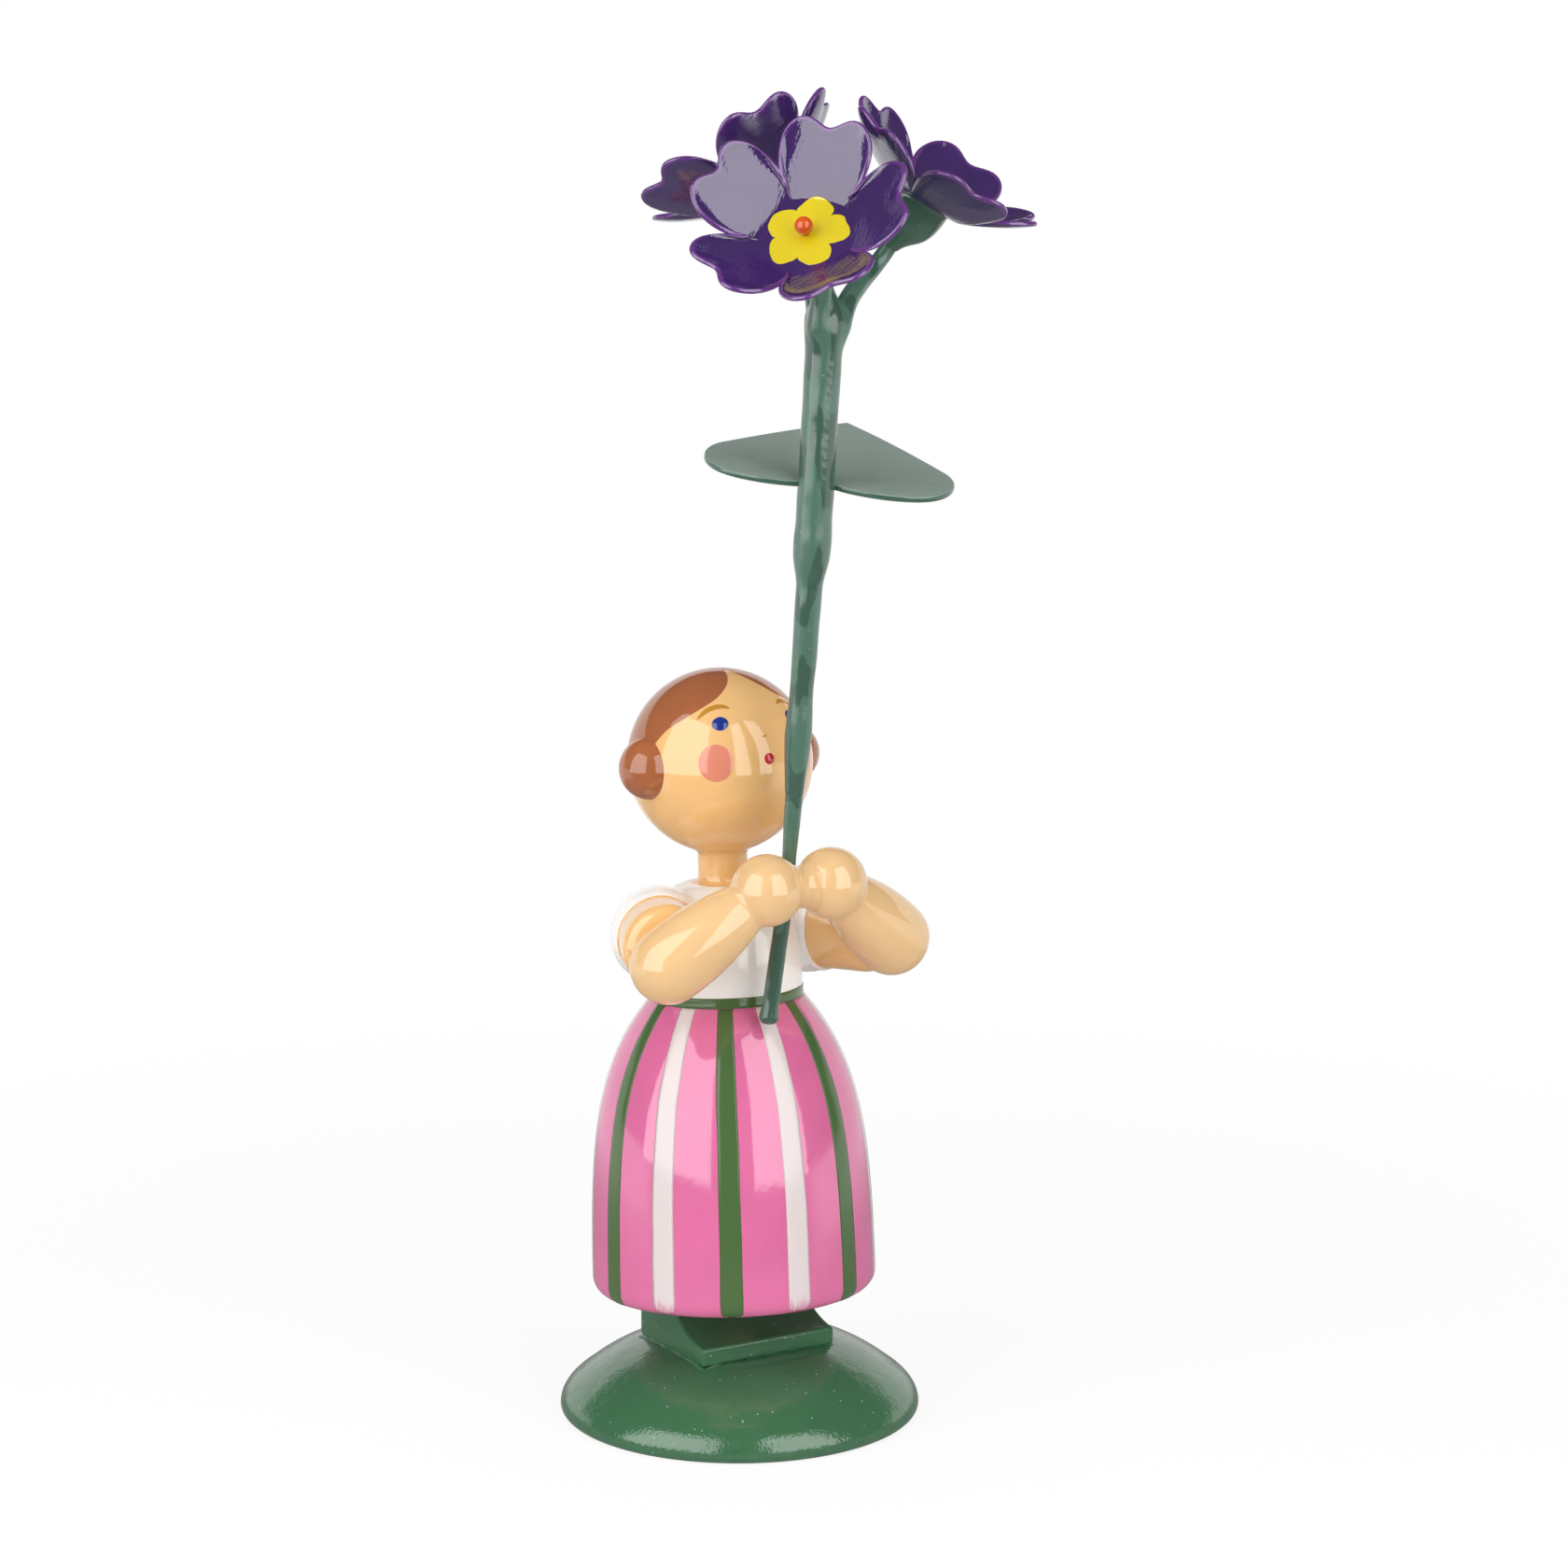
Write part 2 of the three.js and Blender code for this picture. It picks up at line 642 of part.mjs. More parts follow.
function cupFoot(blossom) {
  return blossomFoot(blossom).addScaledVector(blossomAxis(blossom), -CUP_LENGTH - GLUE_LINE);
}

// A stalk leaves the wrap beside its neighbours and bends over into its cup
function stalkCurve(blossom) {
  const axis = blossomAxis(blossom);
  const along = STEM.getTangentAt(1);
  const angle = radians(STALK_START_DEGREES + 120 * BLOSSOMS.indexOf(blossom));
  const away = new THREE.Vector3(Math.cos(angle), Math.sin(angle), 0);
  away.addScaledVector(along, -away.dot(along)).normalize();
  const mouth = STEM_TOP.clone().addScaledVector(away, STALK_RING);
  const foot = mouth.clone().addScaledVector(along, -STALK_IN_WRAP);
  const entry = cupFoot(blossom);
  const tip = entry.clone().addScaledVector(axis, CUP_STALK_DEPTH - PEG_CLEARANCE);
  const pull = entry.distanceTo(mouth) / 2.4;
  const leaving = along.clone().lerp(entry.clone().sub(mouth).normalize(), STALK_LEAN).normalize();
  const curve = new THREE.CurvePath();
  curve.add(new THREE.LineCurve3(foot, mouth));
  curve.add(new THREE.CubicBezierCurve3(
    mouth,
    mouth.clone().addScaledVector(leaving, pull),
    entry.clone().addScaledVector(axis, -pull),
    entry,
  ));
  curve.add(new THREE.LineCurve3(entry, tip));
  return new THREE.CatmullRomCurve3(curve.getSpacedPoints(18));
}

function stalk(blossom, swell = 0) {
  return rod(stalkCurve(blossom), STALK_DIAMETER + 2 * swell, 4, 10);
}

function stemWrap() {
  const core = rod(stemRun(STEM_FOOT_HEIGHT, WIRE_TOP_HEIGHT + PEG_CLEARANCE, 8),
    WIRE_DIAMETER + 2 * PEG_CLEARANCE, 4, 18);
  return cut(stemWrapSkin(), core, ...BLOSSOMS.map((blossom) => stalk(blossom, PEG_CLEARANCE)));
}

// Leaf, a heart of thin veneer let onto the back of the wrap

function leaf() {
  const half = LEAF_WIDTH / 2;
  const along = (share) => share * LEAF_LENGTH;
  const outline = new THREE.Shape();
  outline.moveTo(0, along(0.0618));
  outline.bezierCurveTo(half * 0.2, along(-0.0281), half * 0.55, along(-0.0393), half * 0.78, along(0.0225));
  outline.bezierCurveTo(half * 1.06, along(0.1011), half * 1.1, along(0.3371), half * 0.88, along(0.4607));
  outline.quadraticCurveTo(half * 0.4, along(0.7978), 0, LEAF_LENGTH);
  outline.quadraticCurveTo(-half * 0.4, along(0.7978), -half * 0.88, along(0.4607));
  outline.bezierCurveTo(
    -half * 1.1,
    along(0.3371),
    -half * 1.06,
    along(0.1011),
    -half * 0.78,
    along(0.0225),
  );
  outline.bezierCurveTo(-half * 0.55, along(-0.0393), -half * 0.2, along(-0.0281), 0, along(0.0618));
  const options = { depth: LEAF_THICKNESS, bevelEnabled: false, curveSegments: 8 };
  const blade = new THREE.ExtrudeGeometry(outline, options);
  blade.translate(LEAF_ASIDE, -LEAF_BACK, -LEAF_THICKNESS / 2);
  blade.rotateY(radians(LEAF_ROLL_DEGREES));
  blade.rotateX(radians(LEAF_RISE_DEGREES));
  blade.rotateZ(radians(-LEAF_TURN_DEGREES));
  const spot = STEM.getPointAt(stemShare(WRAP_START_HEIGHT + LEAF_ABOVE_WRAP_START));
  blade.translate(spot.x, spot.y, spot.z);
  return cut(blade, stemWrapSkin(GLUE_LINE));
}

// Blossoms: thin bowls of five notched petals

function petalReach(angle) {
  const slice = (2 * Math.PI) / PETALS;
  const across = Math.abs(THREE.MathUtils.euclideanModulo(angle + slice / 2, slice) - slice / 2);
  const share = across / (slice / 2);
  const cleft = BLOSSOM_CLEFT_DIAMETER / 2;
  const lobe = Math.sqrt(Math.max(0, 1 - share ** 2.8));
  const notch = BLOSSOM_NOTCH * Math.exp(-((share / 0.28) ** 2));
  return cleft + (BLOSSOM_DIAMETER / 2 + PETAL_LOBE_SPREAD - cleft) * lobe - notch;
}

function bowlHeight(radius, angle) {
  const floor = BLOSSOM_FLOOR_DIAMETER / 2;
  const share = Math.max(0, radius - floor) / (BLOSSOM_DIAMETER / 2 - floor);
  const cupping = PETAL_CUPPING * share * Math.cos(PETALS * angle);
  return BLOSSOM_DEPTH * share ** 1.15 - cupping;
}

function blossomBowl() {
  const around = PETALS * 13;
  const hole = PIN_SHAFT_DIAMETER / 2 + PEG_CLEARANCE;
  const steps = [0, 0.3, 0.66, 1];
  const skin = (lift, shares) => shares.map((share) => {
    const ring = [];
    for (let i = 0; i < around; i += 1) {
      const angle = (i / around) * Math.PI * 2;
      const radius = THREE.MathUtils.lerp(hole, petalReach(angle), share);
      const height = bowlHeight(radius, angle) + lift;
      ring.push(new THREE.Vector3(radius * Math.cos(angle), radius * Math.sin(angle), height));
    }
    return ring;
  });
  const rings = [...skin(0, steps), ...skin(BLOSSOM_THICKNESS, steps.slice().reverse())];
  const positions = rings.flat().flatMap((point) => [point.x, point.y, point.z]);
  const index = [];
  for (let r = 0; r < rings.length; r += 1) {
    for (let i = 0; i < around; i += 1) {
      const next = (i + 1) % around;
      const a = r * around + i;
      const b = r * around + next;
      const c = ((r + 1) % rings.length) * around + next;
      const d = ((r + 1) % rings.length) * around + i;
      index.push(a, b, c, a, c, d);
    }
  }
  const geometry = new THREE.BufferGeometry();
  geometry.setAttribute('position', new THREE.Float32BufferAttribute(positions, 3));
  geometry.setIndex(index);
  return weld(geometry);
}

function cup() {
  const stalkHole = STALK_DIAMETER / 2 + STALK_SLACK;
  const pinHole = PIN_SHAFT_DIAMETER / 2 + PEG_CLEARANCE;
  const pinFloor = CUP_LENGTH + GLUE_LINE + BLOSSOM_THICKNESS - PIN_LENGTH - PEG_CLEARANCE;
  const outline = new THREE.Path();
  outline.moveTo(0, CUP_STALK_DEPTH);
  outline.lineTo(stalkHole, CUP_STALK_DEPTH);
  outline.lineTo(stalkHole, 0);
  outline.lineTo(CUP_FOOT_DIAMETER / 2, 0);
  outline.bezierCurveTo(
    CUP_FOOT_DIAMETER / 2 + CUP_FOOT_FLARE,
    CUP_LENGTH / 3,
    CUP_TOP_DIAMETER / 2,
    CUP_LENGTH / 4,
    CUP_TOP_DIAMETER / 2,
    CUP_LENGTH,
  );
  outline.lineTo(pinHole, CUP_LENGTH);
  outline.lineTo(pinHole, pinFloor);
  outline.lineTo(0, pinFloor);
  return turned(outline, 16, 4);
}

function stamenPin() {
  const ball = PIN_HEAD_DIAMETER / 2;
  const shaft = PIN_SHAFT_DIAMETER / 2;
  const start = Math.acos(shaft / ball);
  const outline = new THREE.Path();
  outline.moveTo(0, -PIN_LENGTH);
  outline.lineTo(shaft, -PIN_LENGTH);
  outline.lineTo(shaft, GLUE_LINE);
  outline.absarc(0, GLUE_LINE + ball * Math.sin(start), ball, -start, Math.PI / 2);
  return turned(outline, 10, 3);
}

function placedBlossom(geometry, blossom, lift) {
  const axis = blossomAxis(blossom);
  const level = new THREE.Vector3(-axis.y, axis.x, 0).normalize();
  const upright = axis.clone().cross(level);
  const place = new THREE.Matrix4().makeBasis(level, upright, axis);
  place.setPosition(blossomFoot(blossom).addScaledVector(axis, lift));
  return geometry.clone().rotateZ(radians(blossom.spin)).applyMatrix4(place);
}

// Assembly

const stand = new THREE.Group();
stand.name = 'stand';
stand.add(piece('base_disc', plinth(), COLOURS.plinth, 0.3));
const shoes = piece('shoe_block', shoeBlock(), COLOURS.shoes, 0.35);
shoes.position.set(-GIRL_ASIDE, GIRL_BACK, BASE_HEIGHT);
stand.add(shoes);

const girl = new THREE.Group();
girl.name = 'girl';
girl.position.set(-GIRL_ASIDE, GIRL_BACK, BASE_HEIGHT + SHOE_HEIGHT + SHOE_GLUE);
girl.rotation.x = radians(-LEAN_BACK_DEGREES);
girl.add(piece('stand_dowel', standDowel(), COLOURS.bare, 0.7));
girl.add(piece('skirt', skirt(), COLOURS.skirt, 0.3));
girl.add(piece('torso', torso(), COLOURS.blouse, 0.3));
girl.add(piece('neck_peg', neckPeg(), COLOURS.skin, 0.35));
girl.add(piece('head', head(), COLOURS.skin, 0.3));
SIDES.forEach(({ name, sign }) => {
  girl.add(piece(`hair_bun_${name}`, bun(sign), COLOURS.hair, 0.3));
  girl.add(piece(`sleeve_${name}`, sleeve(sign), COLOURS.blouse, 0.3));
  girl.add(piece(`forearm_${name}`, forearm(sign), COLOURS.skin, 0.3));
});

const flower = new THREE.Group();
flower.name = 'flower';
flower.add(piece('stem_wire', stemWire(), COLOURS.stem, 0.4, 0.2));
flower.add(piece('stem_wrap', stemWrap(), COLOURS.stem, 0.45));
flower.add(piece('leaf', leaf(), COLOURS.leaf, 0.45));
BLOSSOMS.forEach((blossom) => {
  const { name } = blossom;
  const footing = -CUP_LENGTH - GLUE_LINE;
  flower.add(piece(`stalk_${name}`, stalk(blossom), COLOURS.stem, 0.45));
  flower.add(piece(`cup_${name}`, placedBlossom(cup(), blossom, footing), COLOURS.stem, 0.4));
  flower.add(piece(`blossom_${name}`, placedBlossom(blossomBowl(), blossom, 0), COLOURS.petal, 0.3));
  const pin = placedBlossom(stamenPin(), blossom, BLOSSOM_THICKNESS);
  flower.add(piece(`stamen_pin_${name}`, pin, COLOURS.pin, 0.3));
});
girl.add(flower);

const figure = new THREE.Group();
figure.name = 'flower_girl';
figure.add(stand);
figure.add(girl);

export default figure;
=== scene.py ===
import json
import math
from collections import namedtuple

import bmesh
import bpy
import numpy as np
from mathutils import Matrix, Vector

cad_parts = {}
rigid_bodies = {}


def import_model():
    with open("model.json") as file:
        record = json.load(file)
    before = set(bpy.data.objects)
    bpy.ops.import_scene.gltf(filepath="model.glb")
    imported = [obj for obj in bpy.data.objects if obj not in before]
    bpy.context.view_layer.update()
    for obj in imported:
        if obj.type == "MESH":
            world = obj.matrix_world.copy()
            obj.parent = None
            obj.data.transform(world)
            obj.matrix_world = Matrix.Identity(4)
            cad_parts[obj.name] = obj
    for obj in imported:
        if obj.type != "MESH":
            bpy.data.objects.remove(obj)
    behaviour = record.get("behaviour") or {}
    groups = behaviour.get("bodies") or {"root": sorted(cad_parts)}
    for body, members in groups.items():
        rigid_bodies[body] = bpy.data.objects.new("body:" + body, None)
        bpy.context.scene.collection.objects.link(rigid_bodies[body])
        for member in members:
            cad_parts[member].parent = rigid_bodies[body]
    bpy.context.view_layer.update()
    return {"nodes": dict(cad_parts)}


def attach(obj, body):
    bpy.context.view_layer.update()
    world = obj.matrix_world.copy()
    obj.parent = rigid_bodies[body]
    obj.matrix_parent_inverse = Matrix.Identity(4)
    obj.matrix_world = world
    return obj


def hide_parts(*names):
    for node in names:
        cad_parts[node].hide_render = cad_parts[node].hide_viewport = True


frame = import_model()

bl_info = {
    "name": "Turned flower girl",
    "version": (1, 0, 0),
    "blender": (4, 5, 0),
    "location": "View3D > Sidebar > Flower girl",
    "description": "Lacquered wooden flower girl with a tall three-blossom flower",
    "category": "Object",
}

MM = 0.001
BODY = "root"
PREFIX = "flower_girl_"
PHOTO_PIXELS = 1680
SIDES = (("right", -1), ("left", 1))


# Properties: sizes in metres, angles in radians, colours in linear light

def length(name, description, millimetres):
    return bpy.props.FloatProperty(
        name=name, description=description, default=millimetres * MM, unit="LENGTH", precision=5)


def angle(name, description, degrees):
    return bpy.props.FloatProperty(
        name=name, description=description, default=math.radians(degrees), subtype="ANGLE")


def level(name, description, default):
    return bpy.props.FloatProperty(name=name, description=description, default=default, min=0.0)


def count(name, description, default):
    return bpy.props.IntProperty(name=name, description=description, default=default, min=3)


def shade(red, green, blue):
    """A colour as a paint chart gives it, 0 to 255, in linear light."""
    share = np.array([red, green, blue]) / 255.0
    linear = np.where(share < 0.04045, share / 12.92, ((share + 0.055) / 1.055) ** 2.4)
    return tuple(float(x) for x in linear)


def colour(name, description, red, green, blue):
    return bpy.props.FloatVectorProperty(
        name=name, description=description, default=shade(red, green, blue), subtype="COLOR",
        size=3, min=0.0, max=1.0)


class StandSizes(bpy.types.PropertyGroup):
    """Sizes of the plinth and the shoe block"""
    diameter: length("Plinth diameter", "Across the round plinth", 33.0)
    height: length("Plinth height", "From the table to the flat seat", 6.5)
    rim: length("Rim height", "Upright part of the plinth's edge", 1.5)
    rim_round: length("Rim rounding", "Softened edge between rim and dome", 2.4)
    seat: length("Seat diameter", "Flat top of the dome", 16.8)
    bulge: length("Dome bulge", "How far the dome swells past a straight cone", 0.65)
    shoe_width: length("Shoe width", "Shoe block from side to side", 13.8)
    shoe_depth: length("Shoe depth", "Shoe block from toe to heel", 11.7)
    shoe_height: length("Shoe height", "Shoe block from plinth to skirt", 4.7)
    toe: length("Toe height", "Upright front of the shoe block", 1.65)
    leg: length("Leg depth", "Flat top of the shoe block", 6.2)
    hollow: length("Instep hollow", "Sag of the sloping instep", 1.2)
    forward: length("Shoe forward", "How far the block sits ahead of the leg axis", 0.4)
    edge: length("Edge rounding", "Softened edges of the shoe block", 0.3)


class BodySizes(bpy.types.PropertyGroup):
    """Sizes of the skirt, torso, neck and head"""
    aside: length("Aside", "How far the girl stands off the plinth's middle", 0.35)
    back: length("Back", "How far the girl stands behind the plinth's middle", 0.3)
    hem_height: length("Hem height", "Underside of the skirt above the table", 11.586)
    lean: angle("Lean", "How far the girl leans back", 2.8)
    skirt: length("Skirt diameter", "Across the hem", 25.9)
    skirt_height: length("Skirt height", "From hem to waist", 27.1)
    hem_round: length("Hem rounding", "Softened hem", 1.6)
    waist: length("Waist diameter", "Top of the skirt", 14.0)
    torso_waist: length("Torso waist", "Foot of the torso", 13.8)
    chest: length("Chest diameter", "Widest part that the torso's side reaches for", 14.4)
    torso_foot: length("Torso foot", "Foot of the torso above the hem", 27.2)
    torso_height: length("Torso height", "From waist to neckline", 10.4)
    neck: length("Neck diameter", "Across the neck peg", 4.5)
    head: length("Head diameter", "Across the head ball", 16.8)
    head_centre: length("Head height", "Middle of the head above the hem", 48.564)
    head_turn: angle("Head turn", "How far the head is turned to the left-hand side", 4.0)
    face_turn: angle("Face turn", "How far the face is painted off the middle between the buns", -2.5)
    bun: length("Bun diameter", "Across a hair bun", 5.7)
    bun_sink: length("Bun sink", "How deep a bun is set into the head", 0.9)


class ArmSizes(bpy.types.PropertyGroup):
    """Sizes of the sleeves and forearms"""
    sleeve: length("Sleeve diameter", "Fullest part of the sleeve", 8.6)
    cuff: length("Cuff diameter", "End of the sleeve", 8.3)
    cuff_round: length("Cuff rounding", "Softened end of the sleeve", 0.9)
    shoulder: length("Shoulder diameter", "Inner end of the sleeve", 6.4)
    sleeve_length: length("Sleeve length", "Along the sleeve", 5.8)
    sleeve_raise: length("Sleeve raise", "Sleeve above the elbow's height", 0.85)
    askew: length("Askew", "How far one sleeve sits above and the other below that", 0.35)
    stub: length("Elbow stub diameter", "Bare elbow standing out of the sleeve", 7.7)
    stub_length: length("Elbow stub length", "Bare elbow along the sleeve's axis", 3.8)
    stub_round: length("Elbow stub rounding", "Softened end of the bare elbow", 1.5)
    stub_sink: length("Elbow stub sink", "How far the bare elbow runs on into the forearm", 1.9)
    sleeve_turn: angle("Sleeve turn", "How far a sleeve turns outward", 24.0)
    elbow_spread: length("Elbow spread", "Elbow to the side of the middle", 11.5)
    elbow_forward: length("Elbow forward", "Elbow ahead of the body's axis", 10.1)
    elbow_height: length("Elbow height", "Elbow above the hem", 32.5)
    elbow: length("Elbow diameter", "Across the elbow", 6.9)
    middle: length("Forearm diameter", "Across the forearm's middle", 6.5)
    wrist: length("Wrist diameter", "Across the wrist", 4.6)
    hand: length("Hand diameter", "Across a ball hand", 6.4)
    hand_forward: length("Hand forward", "Hands ahead of the body's axis", 13.4)
    hand_height: length("Hand height", "Hands above the hem", 38.7)
    parting: length("Hand parting", "Gap between the hands", 0.14)
    glue: length("Glue diameter", "Filled crevice between the hands", 3.7)


class FlowerSizes(bpy.types.PropertyGroup):
    """Sizes of the stem, leaf and blossoms"""
    wire: length("Wire diameter", "Bare stem below the wrapping", 1.25)
    wrap_start: length("Wrap start", "Foot of the wrapping above the hem", 47.2)
    wrap_lower: length("Lower wrap diameter", "Wrapping above the hands", 2.3)
    wrap_step: length("Wrap step", "Where the wrapping gets thicker, above the hem", 65.2)
    wrap_step_length: length("Wrap step length", "Height over which it gets thicker", 3.0)
    wrap_upper: length("Upper wrap diameter", "Wrapping below the fork", 3.2)
    fork: length("Fork diameter", "Wrapping at the fork", 3.7)
    stem_top: length("Stem top", "Fork above the hem", 89.2)
    top_forward: length("Stem top forward", "Fork ahead of the body's axis", 20.3)
    bow: length("Stem bow", "Bend of the stem between hands and fork", 0.37)
    foot_height: length("Stem foot", "Foot of the stem above the hem", 25.9)
    foot_side: length("Stem foot side", "Foot of the stem off the middle", 1.2)
    stalk: length("Stalk diameter", "Painted wire behind a blossom", 1.5)
    leaf_height: length("Leaf height", "Leaf above the hem", 74.1)
    leaf_width: length("Leaf width", "Across the leaf", 21.5)
    leaf_length: length("Leaf length", "From notch to tip", 17.8)
    leaf_thick: length("Leaf thickness", "Veneer of the leaf", 0.55)
    leaf_turn: angle("Leaf turn", "Turn of the leaf to the left-hand side", 39.0)
    leaf_rise: angle("Leaf rise", "Tip of the leaf above level", 14.5)
    leaf_roll: angle("Leaf roll", "Sideways tilt of the leaf", 9.5)
    leaf_aside: length("Leaf aside", "Leaf off the stem's middle", 0.6)
    blossom: length("Blossom diameter", "Across a blossom's rim", 19.2)
    floor: length("Blossom floor", "Flat middle of a blossom", 6.6)
    depth: length("Blossom depth", "From floor to rim", 4.0)
    curl: length("Petal curl", "How far a petal's edge curls up", 0.44)
    petal_thick: length("Petal thickness", "Sheet of a petal", 0.36)
    cleft: length("Cleft diameter", "Foot of the clefts between petals", 9.6)
    notch: length("Petal notch", "Dip in a petal's outer edge", 1.3)
    petals: count("Petals", "Petals of one blossom", 5)
    cup: length("Cup diameter", "Green cup under a blossom", 5.6)
    cup_length: length("Cup length", "Along the green cup", 4.8)
    bead: length("Bead diameter", "Pin head in a blossom's middle", 1.56)


class PaintColours(bpy.types.PropertyGroup):
    """Colours of the paints"""
    # The shoe block takes this green a tenth lighter, as a painted highlight.
    plinth: colour("Plinth", "Deep green of plinth and shoes", 60, 108, 73)
    pink: colour("Skirt", "Pink of the skirt", 222, 111, 160)
    stripe_green: colour("Green stripes", "Green stripes and belt", 74, 104, 58)
    stripe_white: colour("White stripes", "White stripes", 221, 209, 208)
    blouse: colour("Blouse", "White of torso and sleeves", 253, 250, 246)
    skin: colour("Skin", "Warm skin tone", 243, 193, 128)
    arm: colour("Arms", "Paler skin of the arms", 237, 195, 141)
    hair: colour("Hair", "Red-brown hair", 170, 100, 61)
    eye: colour("Eyes", "Blue eyes", 28, 50, 140)
    brow: colour("Brows", "Ochre brows", 196, 138, 42)
    cheek: colour("Cheeks", "Rosy cheeks", 230, 141, 115)
    mouth: colour("Mouth", "Red mouth", 200, 24, 52)
    stem: colour("Stem", "Blue-green of stem and cups", 78, 115, 97)
    # Lighter than the leaf's own paint: its satin sheen is painted into this colour.
    leaf: colour("Leaf", "Dusky green of the leaf", 140, 158, 148)
    petal: colour("Petals", "Deep purple of the petals", 60, 33, 95)
    petal_edge: colour("Petal edges", "Violet paint along the petal edges", 110, 54, 136)
    centre: colour("Blossom centre", "Yellow centre of a blossom", 222, 200, 26)
    bead: colour("Bead", "Orange pin head", 216, 84, 14)
    wood: colour("Bare wood", "Unpainted wood inside the joints", 217, 185, 138)


class StageSettings(bpy.types.PropertyGroup):
    """Camera, floor and light"""
    azimuth: angle("Camera azimuth", "Camera's turn about the figure", -30.8)
    elevation: angle("Camera elevation", "Camera above level", 10.2)
    distance: length("Camera distance", "From the aim to the camera", 377.46)
    aim_aside: length("Aim aside", "Aim to the right of the plinth's axis", 4.1)
    aim_height: length("Aim height", "Aim above the table", 58.31)
    focal_pixels: level("Focal length in pixels", "Focal length of the photograph", 4500.0)
    ambient: level("Ambient light", "Even light from all around", 0.25)
    left_power: level("Left light", "Power of the left softbox in watts", 0.77)
    right_power: level("Right light", "Power of the right softbox in watts", 0.58)
    top_power: level("Top light", "Power of the overhead softbox in watts", 1.4)


def settings(context, *names):
    """The scene's groups of settings by these names."""
    return [getattr(context.scene, PREFIX + name) for name in names]


# Shader trees

DUST_CORE = 0.05


class Wire:
    """A socket of a shader tree that takes Python arithmetic."""

    def __init__(self, pot, socket):
        self.pot = pot
        self.socket = socket

    def math(self, operation, *values):
        return self.pot.make("ShaderNodeMath", {"operation": operation}, dict(enumerate(values)))

    def __add__(self, other):
        return self.math("ADD", self, other)

    def __radd__(self, other):
        return self.math("ADD", other, self)

    def __sub__(self, other):
        return self.math("SUBTRACT", self, other)

    def __rsub__(self, other):
        return self.math("SUBTRACT", other, self)

    def __mul__(self, other):
        return self.math("MULTIPLY", self, other)

    def __rmul__(self, other):
        return self.math("MULTIPLY", other, self)

    def __pow__(self, other):
        return self.math("POWER", self, other)

    def __abs__(self):
        return self.math("ABSOLUTE", self)


class PaintPot:
    """One material and the nodes that go into it."""

    def __init__(self, name, tree=None):
        self.material = None
        if tree is None:
            self.material = bpy.data.materials.new(name)
            self.material.use_nodes = True
            tree = self.material.node_tree
        self.tree = tree
        self.tree.nodes.clear()

    def make(self, kind, settings=None, inputs=None, output=0):
        node = self.tree.nodes.new(kind)
        for key, value in (settings or {}).items():
            setattr(node, key, value)
        for key, value in (inputs or {}).items():
            socket = node.inputs[key]
            if isinstance(value, Wire):
                self.tree.links.new(value.socket, socket)
            else:
                socket.default_value = value
        return Wire(self, node.outputs[output])

    def place(self, matrix=Matrix.Identity(4)):
        """Object coordinates in millimetres, in the frame of a piece placed by the matrix."""
        inverse = matrix.inverted()
        here = self.make("ShaderNodeTexCoord", output="Object")
        return self.make("ShaderNodeMapping", {"vector_type": "POINT"}, {
            "Vector": here,
            "Location": inverse.to_translation() / MM,
            "Rotation": inverse.to_euler(),
            "Scale": (1 / MM,) * 3})

    def stretched(self, vector, scale):
        return self.make("ShaderNodeVectorMath", {"operation": "MULTIPLY"}, {0: vector, 1: scale})

    def split(self, vector):
        parts = self.tree.nodes.new("ShaderNodeSeparateXYZ")
        self.tree.links.new(vector.socket, parts.inputs[0])
        return [Wire(self, socket) for socket in parts.outputs]

    def noise(self, vector, scale, detail=2.0, roughness=0.5):
        return self.make("ShaderNodeTexNoise", {"noise_dimensions": "3D"}, {
            "Vector": vector, "Scale": scale, "Detail": detail, "Roughness": roughness})

    def ease(self, value, low, high):
        return self.make("ShaderNodeMapRange", {"interpolation_type": "SMOOTHSTEP"}, {
            "Value": value, "From Min": low, "From Max": high})

    def tint(self, factor, first, second):
        first = first if isinstance(first, Wire) else (*first, 1.0)
        second = second if isinstance(second, Wire) else (*second, 1.0)
        return self.make("ShaderNodeMix", {"data_type": "RGBA", "clamp_factor": True},
                         {0: factor, 6: first, 7: second}, output=2)

    def bump(self, height, depth, over=None):
        inputs = {"Height": height, "Distance": depth, "Strength": 1.0}
        if over is not None:
            inputs["Normal"] = over
        return self.make("ShaderNodeBump", None, inputs)

    def coat(self, base, roughness, normal, ior=1.6):
        self.make_output(self.make("ShaderNodeBsdfPrincipled", None, {
            "Base Color": base, "Roughness": roughness, "IOR": ior, "Normal": normal}))
        return self.material

    def mixed(self, share, first, second):
        return self.make("ShaderNodeMixShader", None, {0: share, 1: first, 2: second})

    def ray(self, kind):
        return self.make("ShaderNodeLightPath", output=kind)

    def dust(self, here, scale, size):
        """Small round specks, one where a speck is and nought elsewhere."""
        spots = self.make("ShaderNodeTexVoronoi", {"feature": "F1"}, {"Vector": here, "Scale": scale})
        return 1.0 - self.ease(spots, DUST_CORE, size)

    def make_output(self, surface):
        kind = "ShaderNodeOutputMaterial" if self.material else "ShaderNodeOutputWorld"
        end = self.tree.nodes.new(kind)
        self.tree.links.new(surface.socket, end.inputs["Surface"])


def darker(tint, share):
    return tuple(float(x) * share for x in tint)


